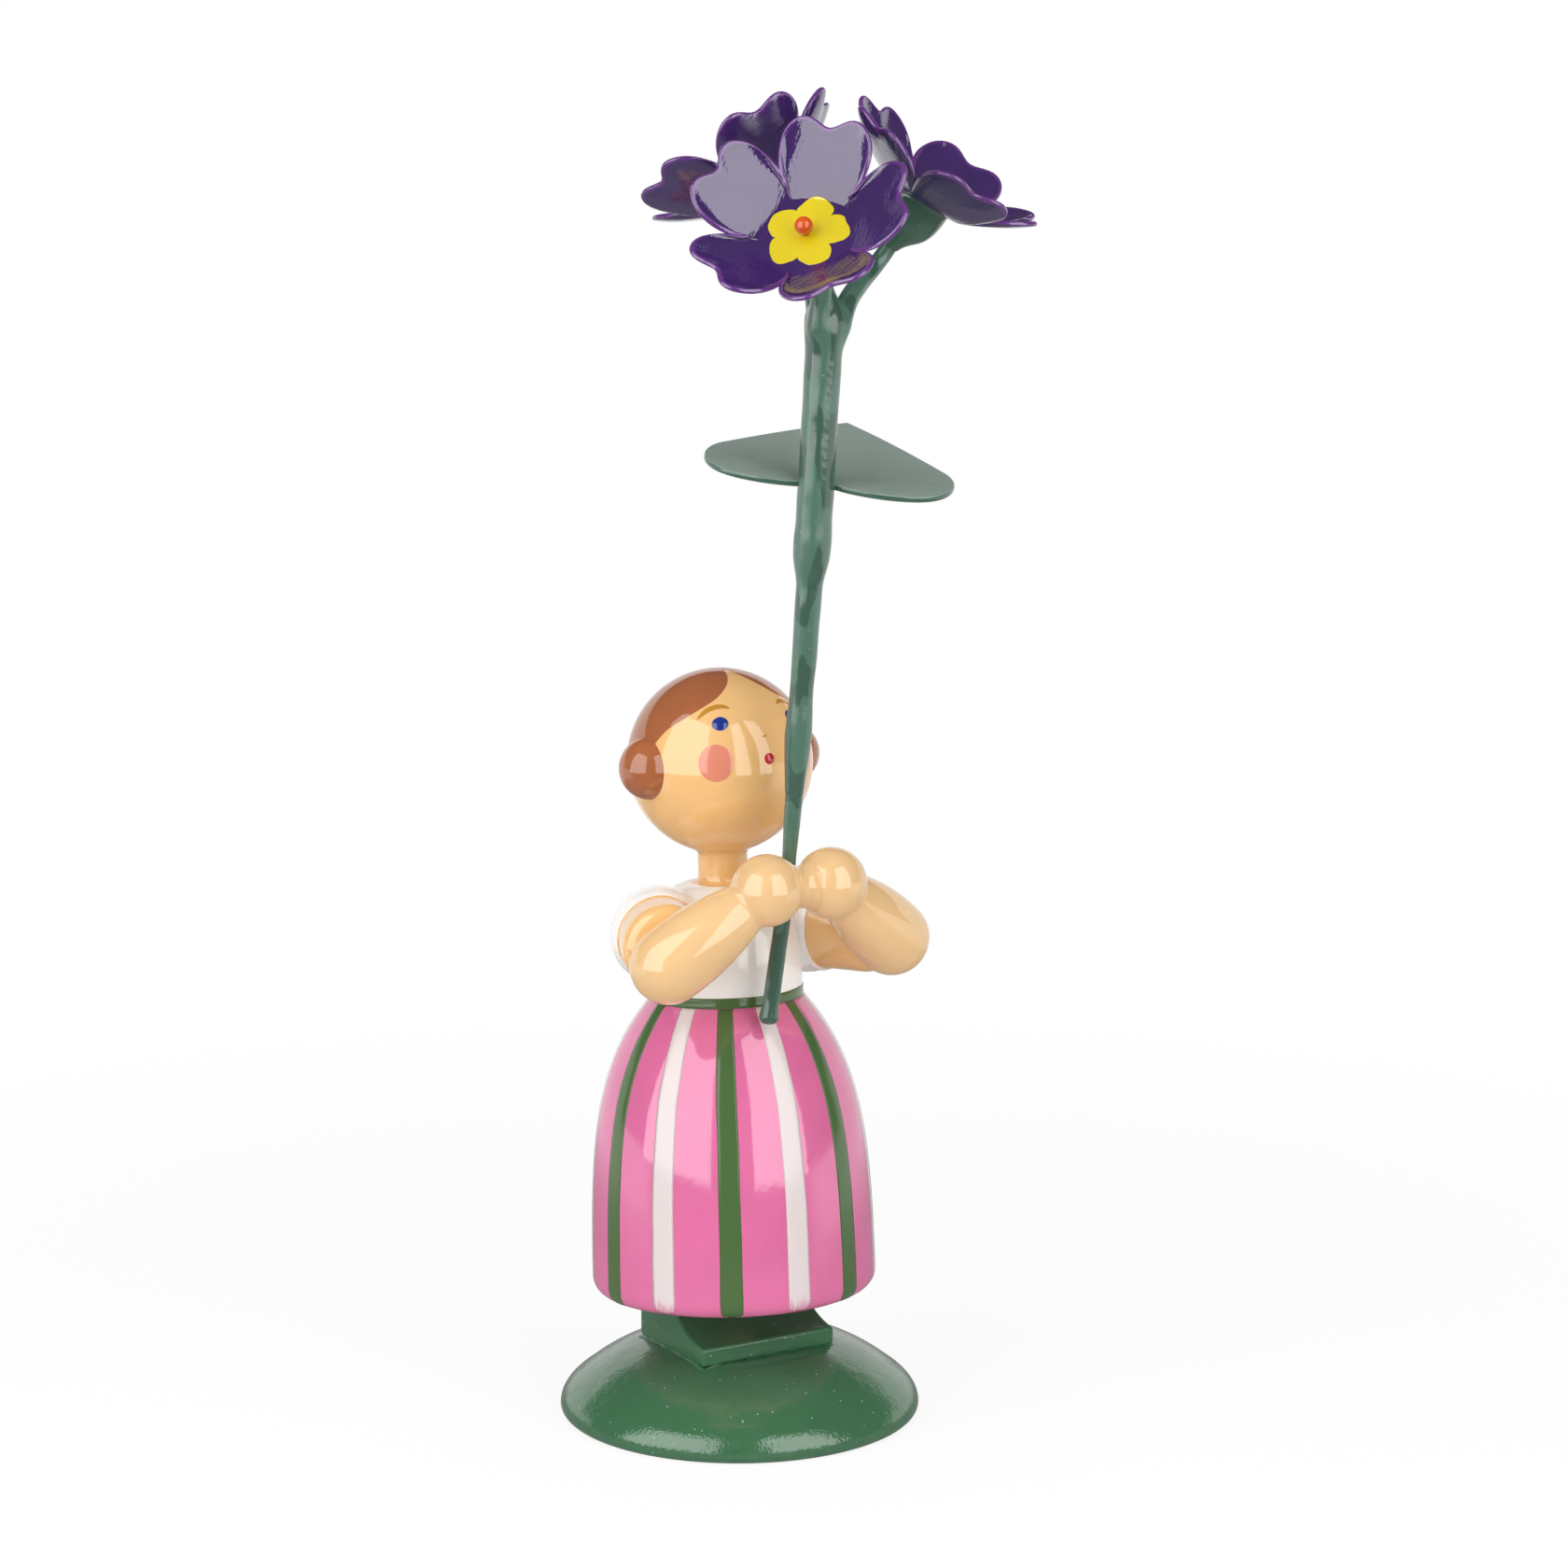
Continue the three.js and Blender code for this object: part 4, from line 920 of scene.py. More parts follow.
class FLOWERGIRL_OT_skirt(bpy.types.Operator):
    """Makes the bell skirt, its painted stripes and the belt"""
    bl_idname = "flowergirl.skirt"
    bl_label = "Skirt"

    green_turns = (-56.0, 0.0, 54.7, 117.0, 179.4, 241.7)
    white_turns = (-28.3, 27.8, 85.9, 148.2, 210.5, 272.8)

    def execute(self, context):
        body, paints = settings(context, "body", "paints")
        place = girl_place(body)
        pink = lacquer("skirt_lacquer", paints.pink, ior=1.85)
        hem = body.skirt / 2 / MM
        soft = body.hem_round / MM
        top = body.skirt_height / MM
        profile = joined(
            [(0, 0.35), (hem - soft - 2.2, 0.35)],
            bend([(hem - soft - 2.2, 0.35), (hem - soft - 1.6, 0.0), (hem - soft, 0.0)], 5),
            bend([(hem - soft, 0), (hem, 0), (hem, soft)], 10),
            skirt_side(body, 70),
            [(0, top)],
        )
        points, faces = lathe(profile, 208, 21, 7, 0.010)
        add_piece("skirt_turned", mesh_of("skirt", points, faces, place), [pink], ["skirt"])
        nodes = copies_tree()
        green = brushed_paint(
            "stripe_green_paint", paints.stripe_green, paints.stripe_green, place, 0.0, 2.0)
        white = brushed_paint("stripe_white_paint", paints.stripe_white, paints.pink, place, 0.4, 2.6)
        self.stripes("stripes_green", self.green_turns, GREEN_FOOT, green, body, place, nodes)
        self.stripes("stripes_white", self.white_turns, WHITE_FOOT, white, body, place, nodes)
        self.belt(body, place, green)
        return {"FINISHED"}

    def stripes(self, name, turns, low, paint, body, place, nodes):
        """One brush stroke laid over the skirt's side, copied round it."""
        hem = body.skirt / 2 / MM
        soft = body.hem_round / MM
        outline = joined(bend([(hem - soft, 0), (hem, 0), (hem, soft)], 20), skirt_side(body, 120))
        outline = np.array(outline)
        slope = np.gradient(outline, axis=0)
        facing = np.stack([slope[:, 1], -slope[:, 0]], 1)
        facing /= np.linalg.norm(facing, axis=1)[:, None]
        run = run_along(outline)
        first = np.interp(low, outline[:, 1], run)
        last = np.interp(STRIPE_TOP, outline[:, 1], run)
        rings = []
        for t in np.linspace(0, 1, STRIPE_STEPS):
            along = first + (last - first) * t
            reach = np.interp(along, run, outline[:, 0])
            height = np.interp(along, run, outline[:, 1])
            out = np.array([np.interp(along, run, facing[:, 0]), np.interp(along, run, facing[:, 1])])
            wide = np.interp(height, STRIPE_HEIGHTS, STRIPE_HALF_WIDTHS)
            end = min(along - first, last - along)
            wide *= math.sqrt(max(0.02, 1 - max(0.0, 1 - (along - first) / STRIPE_END_ROUND) ** 2))
            ring = []
            for across in np.linspace(-1, 1, 9):
                lift = STRIPE_LIFT * (1 - across ** 4) - STRIPE_EDGE_SINK * (abs(across) > 0.99)
                lift *= min(1.0, end / STRIPE_END_SLOPE)
                ring.append((across * wide, reach + out[0] * lift, height + out[1] * lift))
            for across in np.linspace(0.7, -0.7, 5):
                ring.append((across * wide, reach - out[0] * STRIPE_ROOT, height - out[1] * STRIPE_ROOT))
            turned_ring = []
            for aside, distance, tall in ring:
                turn = aside / distance
                turned_ring.append((distance * math.sin(turn), -distance * math.cos(turn), tall))
            rings.append(turned_ring)
        points, faces = skin(rings)
        stroke = linked(name + "_stroke", mesh_of(name + "_stroke", points, faces))
        camera_turn = settings(bpy.context, "stage")[0].azimuth
        spots = spots_mesh(name + "_spots", [(0, 0, 0)] * len(turns),
                           [(0, 0, math.radians(t) + camera_turn) for t in turns])
        mesh = grown(name, spots, nodes, {
            "Copy": stroke, "Waver": STRIPE_WAVER * MM, "Waver size": STRIPE_WAVER_SCALE, "Paint": paint})
        bpy.data.objects.remove(stroke)
        mesh.transform(place)
        add_piece(name, mesh, [paint], [])

    def belt(self, body, place, paint):
        """The painted belt over the joint of skirt and torso, with a hand-drawn edge."""
        waist = body.torso_waist / 2 / MM
        foot = body.torso_foot / MM
        sides = BELT_SIDES
        turns = np.arange(sides) * (2 * math.pi / sides)
        upper = foot + BELT_ABOVE + ripple(turns, 31, 14, 0.025)
        lower = foot - BELT_BELOW + ripple(turns, 32, 14, 0.02)
        rings = []
        for turn, high, low in zip(turns, upper, lower):
            section = [(waist - BELT_ROOT, low), (waist + 0.10, low), (waist + 0.155, low + 0.06)]
            section += [(waist + 0.125, low + 0.25), (waist + 0.125, high - 0.25)]
            section += [(waist + 0.115, high - 0.05), (waist + 0.03, high), (waist - BELT_ROOT, high)]
            rings.append([(r * math.cos(turn), r * math.sin(turn), z) for r, z in section])
        many = len(rings[0])
        points = np.array(rings).reshape(-1, 3)
        faces = []
        for i in range(sides):
            k = (i + 1) % sides
            for j in range(many):
                n = (j + 1) % many
                faces.append([i * many + j, k * many + j, k * many + n, i * many + n])
        add_piece("belt_painted", mesh_of("belt", points, faces, place), [paint], [])


# Torso, neck and sleeves

NECKLINE_REACH, NECKLINE_WAVE, NECKLINE_DEPTH = 3.15, 0.12, 1.2


class FLOWERGIRL_OT_blouse(bpy.types.Operator):
    """Makes the torso, the neck peg and the puffed sleeves"""
    bl_idname = "flowergirl.blouse"
    bl_label = "Blouse and neck"

    def execute(self, context):
        body, arms, paints = settings(context, "body", "arms", "paints")
        place = girl_place(body)
        white = lacquer("blouse_lacquer", paints.blouse, mottle=0.05, peel=6.0e-6)
        skin_paint = lacquer("neck_lacquer", paints.skin, mottle=0.08)
        foot = body.torso_foot / MM
        top = foot + body.torso_height / MM
        waist = body.torso_waist / 2 / MM
        chest = body.chest / 2 / MM
        neck = body.neck / 2 / MM
        low = bend([(waist, foot), (chest, foot + body.torso_height / 2 / MM), (chest, top),
                    (neck + 0.1, top)], 60)
        profile = joined([(0, foot), (waist - 0.2, foot)], low, [(0, top)])
        points, faces = lathe(profile, 160, 41, 7, 0.010)
        mesh = mesh_of("torso", points, faces, place)
        inverse = place.inverted()
        owner = []
        for face in mesh.polygons:
            spot = (inverse @ face.center) / MM
            neckline = NECKLINE_REACH + NECKLINE_WAVE * math.cos(3 * math.atan2(spot.y, spot.x))
            bare = spot.z > top - NECKLINE_DEPTH and math.hypot(spot.x, spot.y) < neckline
            owner.append(int(bare))
        add_piece("torso_turned", mesh, [white, skin_paint], ["torso"], owner)
        reach_up = body.head_centre / MM - math.sqrt((body.head / 2 / MM) ** 2 - neck ** 2)
        peg = joined(
            [(0, top - 3.0), (neck, top - 3.0)],
            bend([(neck + 0.55, top - 0.04), (neck + 0.03, top + 0.05), (neck, top + 0.55)], 8),
            straight((neck, top + 0.55), (neck, reach_up - 0.35), 6),
            bend([(neck, reach_up - 0.35), (neck + 0.03, reach_up - 0.06),
                  (neck + 0.45, reach_up + 0.12)], 8),
            [(neck, reach_up + 2.5), (0, reach_up + 2.5)],
        )
        points, faces = lathe(peg, 96, 43, 6, 0.015)
        add_piece("neck_turned", mesh_of("neck", points, faces, place), [skin_paint], ["neck_peg"])
        self.sleeves(arms, place, white, skin_paint)
        return {"FINISHED"}

    def sleeves(self, arms, place, white, skin_paint):
        """Puffed sleeves, each with the bare elbow standing out of its end."""
        shoulder = arms.shoulder / 2 / MM
        cuff = arms.cuff / 2 / MM
        soft = arms.cuff_round / MM
        long = arms.sleeve_length / MM
        stub = arms.stub / 2 / MM
        blunt = arms.stub_round / MM
        flat_end = long + arms.stub_length / MM
        end = flat_end + arms.stub_sink / MM
        full = (4 * arms.sleeve / 2 / MM - shoulder - cuff) / 2
        profile = joined(
            [(0, 0), (shoulder, 0)],
            bend([(shoulder, 0), (full, (long - soft) / 2), (cuff, long - soft)], 32),
            bend([(cuff, long - soft), (cuff, long - 0.04), (stub + 0.06, long)], 12),
            bend([(stub + 0.06, long), (stub, long), (stub, long + 0.08)], 5),
            straight((stub, long + 0.08), (stub, end - blunt), 6),
            bend([(stub, end - blunt), (stub, end), (stub - blunt, end)], 10),
            straight((stub - blunt, end), (0.8, end), 8),
            [(0, end)],
        )
        points, faces = lathe(profile, 96)
        bare = [int(min(points[v][2] for v in face) > long - 0.02) for face in faces]
        for side, sign in SIDES:
            turn = arms.sleeve_turn
            axis = Vector((sign * math.sin(turn), -math.cos(turn), 0))
            elbow = elbow_of(arms, sign)
            flat = elbow - axis * (arms.elbow / 2 / MM - 0.5)
            flat.z += (arms.sleeve_raise - sign * arms.askew) / MM
            barrel = moved(points, aimed(flat - axis * flat_end, axis))
            mesh = plain_mesh("sleeve_" + side, barrel, faces, place)
            add_piece(f"sleeve_{side}_turned", mesh, [white, skin_paint], [f"sleeve_{side}"],
                      bare)


# Head, face and hair

def on_head(turn, rise, radius):
    """A point on the head ball: turn from the face towards the left-hand side, rise above level."""
    level = math.cos(rise)
    return np.array([level * math.sin(turn), -level * math.cos(turn), math.sin(rise)]) * radius


def hair_line(turn):
    """Height of the hairline in degrees above level, by degrees from the parting."""
    away = abs(math.degrees(turn))
    turns = [0, 5, 9, 13.5, 19.5, 26, 33.5, 43.5, 52.5, 60.5, 68.5, 75, 82, 90, 98, 106, 120, 150, 180]
    rises = [86, 82, 77, 70, 61, 54, 47.5, 41.5, 36, 31, 26, 19, 8, -4, -13, -19, -25, -30, -31]
    return float(np.interp(away, turns, rises))


HEAD_COLUMNS, SKIN_ROWS, HAIR_ROWS, HAIR_THICK = 240, 60, 44, 0.03

# Drops of paint: turn and rise in degrees, half width, half height and dome in millimetres
EYE = (30.4, 30.2, 0.77, 0.68, 0.08)
CHEEK = (34.0, 5.6, 1.68, 1.74, 0.012)
MOUTH = (0.4, 6.6, 0.52, 0.52, 0.10)

# Strokes of paint: turns and rises in degrees, half width and dome in millimetres
BROW = ((47.2, 33.0), (43.2, 37.4), (38.5, 40.4), (33, 42), (27.5, 42), (22.5, 40.6))
BROW_SIZE = (0.25, 0.03)
NOSE = ((-2.6, 20.2), (-0.8, 20.6), (0.8, 21.0))
NOSE_SIZE = (0.09, 0.012)


class FLOWERGIRL_OT_head(bpy.types.Operator):
    """Makes the head ball with its painted hair and face, and the two hair buns"""
    bl_idname = "flowergirl.head"
    bl_label = "Head and hair"

    def execute(self, context):
        body, paints = settings(context, "body", "paints")
        place = head_place(body)
        face_place = place @ Matrix.Rotation(body.face_turn, 4, "Z")
        skin_paint = lacquer("face_lacquer", paints.skin, mottle=0.06, gloss=0.045, peel=3.0e-6)
        brown = lacquer("hair_lacquer", paints.hair, mottle=0.14, peel=4.0e-6)
        radius = body.head / 2 / MM
        columns = HEAD_COLUMNS
        turns = (np.arange(columns) / columns - 0.5) * 2 * math.pi
        line = np.array([hair_line(t) for t in turns])
        for _ in range(3):
            line = (np.roll(line, 1) + 2 * line + np.roll(line, -1)) / 4
        line = np.radians(line + ripple(turns, 51, 24, 0.25))
        rows = []
        for i in range(1, SKIN_ROWS + 1):
            share = i / SKIN_ROWS
            rows.append((-math.pi / 2 + (line + math.pi / 2) * share, 0.0))
        for i in range(1, HAIR_ROWS):
            share = i / HAIR_ROWS
            rows.append((line + (math.pi / 2 - line) * share, HAIR_THICK * min(1.0, share * 14)))
        points = [on_head(0, -math.pi / 2, radius)]
        for rises, lift in rows:
            points.extend(on_head(t, r, radius + lift) for t, r in zip(turns, rises))
        points.append(on_head(0, math.pi / 2, radius + HAIR_THICK))
        last = 1 + (len(rows) - 1) * columns
        faces = [[0, 1 + (j + 1) % columns, 1 + j] for j in range(columns)]
        faces += bands(len(rows), columns, 1)
        faces += [[last + j, last + (j + 1) % columns, len(points) - 1] for j in range(columns)]
        owner = np.repeat([0, 1], [SKIN_ROWS * columns, HAIR_ROWS * columns])
        mesh = plain_mesh("head", points, faces, face_place)
        add_piece("head_turned", mesh, [skin_paint, brown], ["head"], owner)
        self.buns(body, place, brown)
        self.face(face_place, radius, paints)
        return {"FINISHED"}

    def buns(self, body, place, brown):
        radius = body.bun / 2 / MM
        rise = np.linspace(-math.pi / 2, math.pi / 2, 40)
        profile = [(radius * math.cos(t) if abs(t) < 1.5707 else 0.0, radius * math.sin(t)) for t in rise]
        points, faces = lathe(profile, 80, 61, 5, 0.012)
        for side, sign in SIDES:
            reach = sign * (body.head / 2 - body.bun_sink) / MM
            ball = moved(points, Matrix.Translation((reach, 0, 0)) @ Matrix.Rotation(math.pi / 2, 4, "Y"))
            mesh = mesh_of("bun_" + side, ball, faces, place)
            add_piece(f"hair_bun_{side}_turned", mesh, [brown], [f"hair_bun_{side}"])

    def face(self, place, radius, paints):
        """Eyes, brows, cheeks, nose and mouth, each a drop or stroke of paint on the ball."""
        eye = lacquer("eye_paint", paints.eye, mottle=0.25, gloss=0.07, peel=3e-6)
        brow = lacquer("brow_paint", paints.brow, mottle=0.2, gloss=0.10)
        cheek = lacquer("cheek_paint", paints.cheek, gloss=0.09)
        mouth = lacquer("mouth_paint", paints.mouth, gloss=0.07)
        parts, tints = [], []
        for sign in (-1, 1):
            arch = [(sign * turn, rise) for turn, rise in BROW]
            parts += [self.drop(radius, sign * EYE[0], *EYE[1:], 71 + sign),
                      self.drop(radius, sign * CHEEK[0], *CHEEK[1:], 75 + sign),
                      self.stroke(radius, arch, *BROW_SIZE)]
            tints += [0, 2, 1]
        parts += [self.drop(radius, *MOUTH, 79), self.stroke(radius, NOSE, *NOSE_SIZE)]
        tints += [3, 1]
        points, faces, origin = gathered(*parts)
        mesh = plain_mesh("face_paint", points, faces, place)
        add_piece("face_paint", mesh, [eye, brow, cheek, mouth], [], [tints[i] for i in origin])

    def frame_at(self, turn, rise):
        t, r = math.radians(turn), math.radians(rise)
        out = on_head(t, r, 1.0)
        east = np.array([math.cos(t), math.sin(t), 0.0])
        north = np.cross(out, east)
        return out, east, north

    def drop(self, radius, turn, rise, wide, tall, dome, seed):
        out, east, north = self.frame_at(turn, rise)
        turns = np.arange(48) * (2 * math.pi / 48)
        wander = 1 + ripple(turns, seed, 5, 0.025)
        rings = []
        for share in (0.12, 0.3, 0.5, 0.68, 0.82, 0.92, 0.98, 1.0):
            lift = dome * (1 - share ** 2) + 0.035 * (1 - share ** 8) - 0.012
            ring = []
            for t, w in zip(turns, wander):
                spot = out * radius + (east * wide * math.cos(t) + north * tall * math.sin(t)) * share * w
                ring.append(spot / np.linalg.norm(spot) * (radius + lift))
            rings.append(ring)
        deep = [p / np.linalg.norm(p) * (radius - 0.12) for p in rings[-1]]
        return skin((rings + [deep])[::-1])

    def stroke(self, radius, path, wide, dome):
        path = np.array(path, float)
        where = run_along(path)

        def at(share):
            run = min(1, max(0, share)) * where[-1]
            return np.interp(run, where, path[:, 0]), np.interp(run, where, path[:, 1])

        rings = []
        for t in np.linspace(0, 1, 30):
            out = self.frame_at(*at(t))[0]
            along = self.frame_at(*at(t + 0.03))[0] - self.frame_at(*at(t - 0.03))[0]
            across = np.cross(out, along / np.linalg.norm(along))
            size = wide * math.sqrt(max(0.03, 1 - (2 * t - 1) ** 4)) * (0.75 + 0.25 * math.sin(math.pi * t))
            ring = []
            for a in np.arange(10) * (2 * math.pi / 10):
                lift = (0.02 + dome) * math.sin(a) if math.sin(a) > 0 else 0.08 * math.sin(a)
                ring.append(out * (radius + lift) + across * size * math.cos(a))
            rings.append(ring)
        return skin(rings)


# Forearms

WRIST_BLEND = 0.16
GLUE_FLARE = 0.42


class FLOWERGIRL_OT_arms(bpy.types.Operator):
    """Makes the club-shaped forearms with ball hands, and the glue between the hands"""
    bl_idname = "flowergirl.arms"
    bl_label = "Forearms"

    def execute(self, context):
        body, arms, paints = settings(context, "body", "arms", "paints")
        place = girl_place(body)
        paint = lacquer("arm_lacquer", paints.arm, mottle=0.08)
        hand = arms.hand / 2 / MM
        elbow_radius = arms.elbow / 2 / MM
        wrist = arms.wrist / 2 / MM
        spread = (arms.hand + arms.parting) / 2 / MM
        for side, sign in SIDES:
            elbow = elbow_of(arms, sign)
            palm = Vector((sign * spread, -arms.hand_forward / MM, arms.hand_height / MM))
            reach = palm - elbow
            lean = math.asin(wrist / hand)
            neck = reach.length - hand * math.cos(lean)
            belly = (4 * arms.middle / 2 / MM - elbow_radius - wrist) / 2
            start = lean - math.pi / 2 + WRIST_BLEND
            profile = joined(
                [(0, -elbow_radius)],
                arc(0, 0, elbow_radius, -math.pi / 2 + 0.02, 0, 22),
                bend([(elbow_radius, 0), (belly, neck / 2), (wrist + 0.04, neck - 0.35)], 36),
                bend([(wrist + 0.04, neck - 0.35), (wrist - 0.06, neck - 0.02),
                      (hand * math.cos(start), reach.length + hand * math.sin(start))], 8),
                arc(0, reach.length, hand, start, math.pi / 2 - 0.02, 46),
                [(0, reach.length + hand)],
            )
            points, faces = lathe(profile, 112, 81 + sign, 5, 0.012)
            club = moved(points, aimed(elbow, reach.normalized()))
            mesh = mesh_of("forearm_" + side, club, faces, place)
            add_piece(f"forearm_{side}_turned", mesh, [paint], [f"forearm_{side}"])
        waist = arms.glue / 2 / MM
        end = spread - math.sqrt(hand ** 2 - (waist + GLUE_FLARE) ** 2)
        neck_line = [(waist + GLUE_FLARE * (t / end) ** 2, t) for t in np.linspace(-end, end, 24)]
        profile = joined([(0, -end - 0.25), (waist + 0.2, -end - 0.2)], neck_line,
                         [(waist + 0.2, end + 0.2), (0, end + 0.25)])
        points, faces = lathe(profile, 72, 91, 9, 0.06)
        middle = Vector((0, -arms.hand_forward / MM, arms.hand_height / MM))
        glue = moved(points, aimed(middle, Vector((1, 0, 0))))
        add_piece("hand_glue", mesh_of("hand_glue", glue, faces, place), [paint], [])
        return {"FINISHED"}


# Stem, wrapping and stalks, in millimetres

STEM_STEPS = 400
WIRE_IN_WRAP, WRAP_OVERLAP = 4, 0.6
SWELL_HEIGHTS = (25.9, 36.0, 41.2, 44.0, 47.0)
SWELLS = (1.2, 1.15, 1.0, 1.18, 1.26)
FOOT_ROUND, FOOT_SWELL, FOOT_SWELL_REACH = 0.75, 0.30, 1.3
WIRE_LUMP, WIRE_LUMP_SCALE = 0.10, 700.0
WRAP_LUMP, WRAP_LUMP_SCALE = 0.24, 300.0
LOWER_HEIGHTS = (-0.6, 1.7, 4.8, 7.9, 11.0)
LOWER_SHARES = (0.74, 0.88, 1.06, 0.94, 1.0)
LEAF_LUMP, LEAF_LUMP_HEIGHT, LEAF_LUMP_REACH = 0.06, 69.5, 1.1
FORK_START, FORK_FULL, CROWN, CROWN_TAPER = 4.4, 1.0, 2.4, 0.75
MOUTH_BELOW, MOUTH_OUT = 1.3, 1.25
TAIL_BELOW, TAIL_OUT = 5.0, 0.4
FLARE, FLARE_REACH = 0.40, 3.0
STALK_IN_CUP, CUP_GAP = 1.4, 0.1
FIRST_STALK_TURN = -150
SKIN_VOXEL, SKIN_SMOOTHING = 0.13, 26


def stem_points(body, arms, flower, many):
    """Middle line of the stem in the girl's frame, from its foot to the fork, in millimetres."""
    hand = arms.hand / 2 / MM
    wire = flower.wire / 2 / MM
    spread = (arms.hand + arms.parting) / 2 / MM
    behind = math.sqrt((hand + wire + 0.1) ** 2 - spread ** 2)
    hold = np.array([0, behind - arms.hand_forward / MM, arms.hand_height / MM])
    side = np.array(skirt_side(body, 400))
    foot_height = flower.foot_height / MM
    reach = np.interp(foot_height - 2 * wire, side[:, 1], side[:, 0]) + wire
    aside = flower.foot_side / MM
    foot = np.array([-aside, -math.sqrt(reach ** 2 - aside ** 2), foot_height])
    top = np.array([0, -flower.top_forward / MM, flower.stem_top / MM])
    knots = [foot, hold]
    for share in (0.3, 0.55, 0.8):
        spot = hold * (1 - share) + top * share
        spot[1] -= flower.bow / MM * math.sin(math.pi * share)
        knots.append(spot)
    return through(knots + [top], many)


def through(knots, many):
    """A smooth line through the knots with evenly spaced points."""
    knots = [np.array(k, float) for k in knots]
    knots = [2 * knots[0] - knots[1]] + knots + [2 * knots[-1] - knots[-2]]
    line = []
    for a, b, c, d in zip(knots, knots[1:], knots[2:], knots[3:]):
        gaps = [max(1e-6, np.linalg.norm(q - p)) ** 0.5 for p, q in ((a, b), (b, c), (c, d))]
        start = ((b - a) / gaps[0] - (c - a) / (gaps[0] + gaps[1]) + (c - b) / gaps[1]) * gaps[1]
        end = ((c - b) / gaps[1] - (d - b) / (gaps[1] + gaps[2]) + (d - c) / gaps[2]) * gaps[1]
        for t in np.linspace(0, 1, 60, endpoint=False):
            line.append(b * (1 + 2 * t) * (1 - t) ** 2 + start * t * (1 - t) ** 2
                        + c * t * t * (3 - 2 * t) + end * t * t * (t - 1))
    line.append(knots[-2])
    return evened(np.array(line), many)


def evened(line, many):
    run = run_along(line)
    at = np.linspace(0, run[-1], many)
    return np.stack([np.interp(at, run, line[:, i]) for i in range(3)], 1)


def easing(value, low, high):
    share = np.clip((value - low) / (high - low), 0, 1)
    return share * share * (3 - 2 * share)


# Each blossom's foot in millimetres, its turn, rise and spin in degrees, and how far each petal opens
Blossom = namedtuple("Blossom", "name foot turn rise spin tilts")
BLOSSOMS = (
    Blossom("front", (-4.9, -25.6, 95.4), -45.0, 38.0, 80.0, (-0.08, 0.17, 0.04, -0.05, 0.03)),
    Blossom("left", (9.6, -20.6, 98.3), 46.0, 54.0, 69.0, (0.03, -0.05, 0.0, -0.06, 0.05)),
    Blossom("right", (-1.7, -12.6, 99.3), -150.0, 55.0, 119.0, (0.0, 0.05, -0.04, 0.02, -0.05)),
)


def blossom_axis(blossom):
    t, r = math.radians(blossom.turn), math.radians(blossom.rise)
    return np.array([math.sin(t) * math.cos(r), -math.cos(t) * math.cos(r), math.sin(r)])


def blossom_place(blossom, lift=0.0):
    """A blossom's placing in the girl's frame, in millimetres, with its opening along +Z."""
    axis = Vector(blossom_axis(blossom))
    level = Vector((-axis.y, axis.x, 0)).normalized()
    upright = axis.cross(level)
    turned = Matrix((level, upright, axis)).transposed().to_4x4()
    spot = Vector(blossom.foot) + axis * lift
    return Matrix.Translation(spot) @ turned @ Matrix.Rotation(math.radians(blossom.spin), 4, "Z")


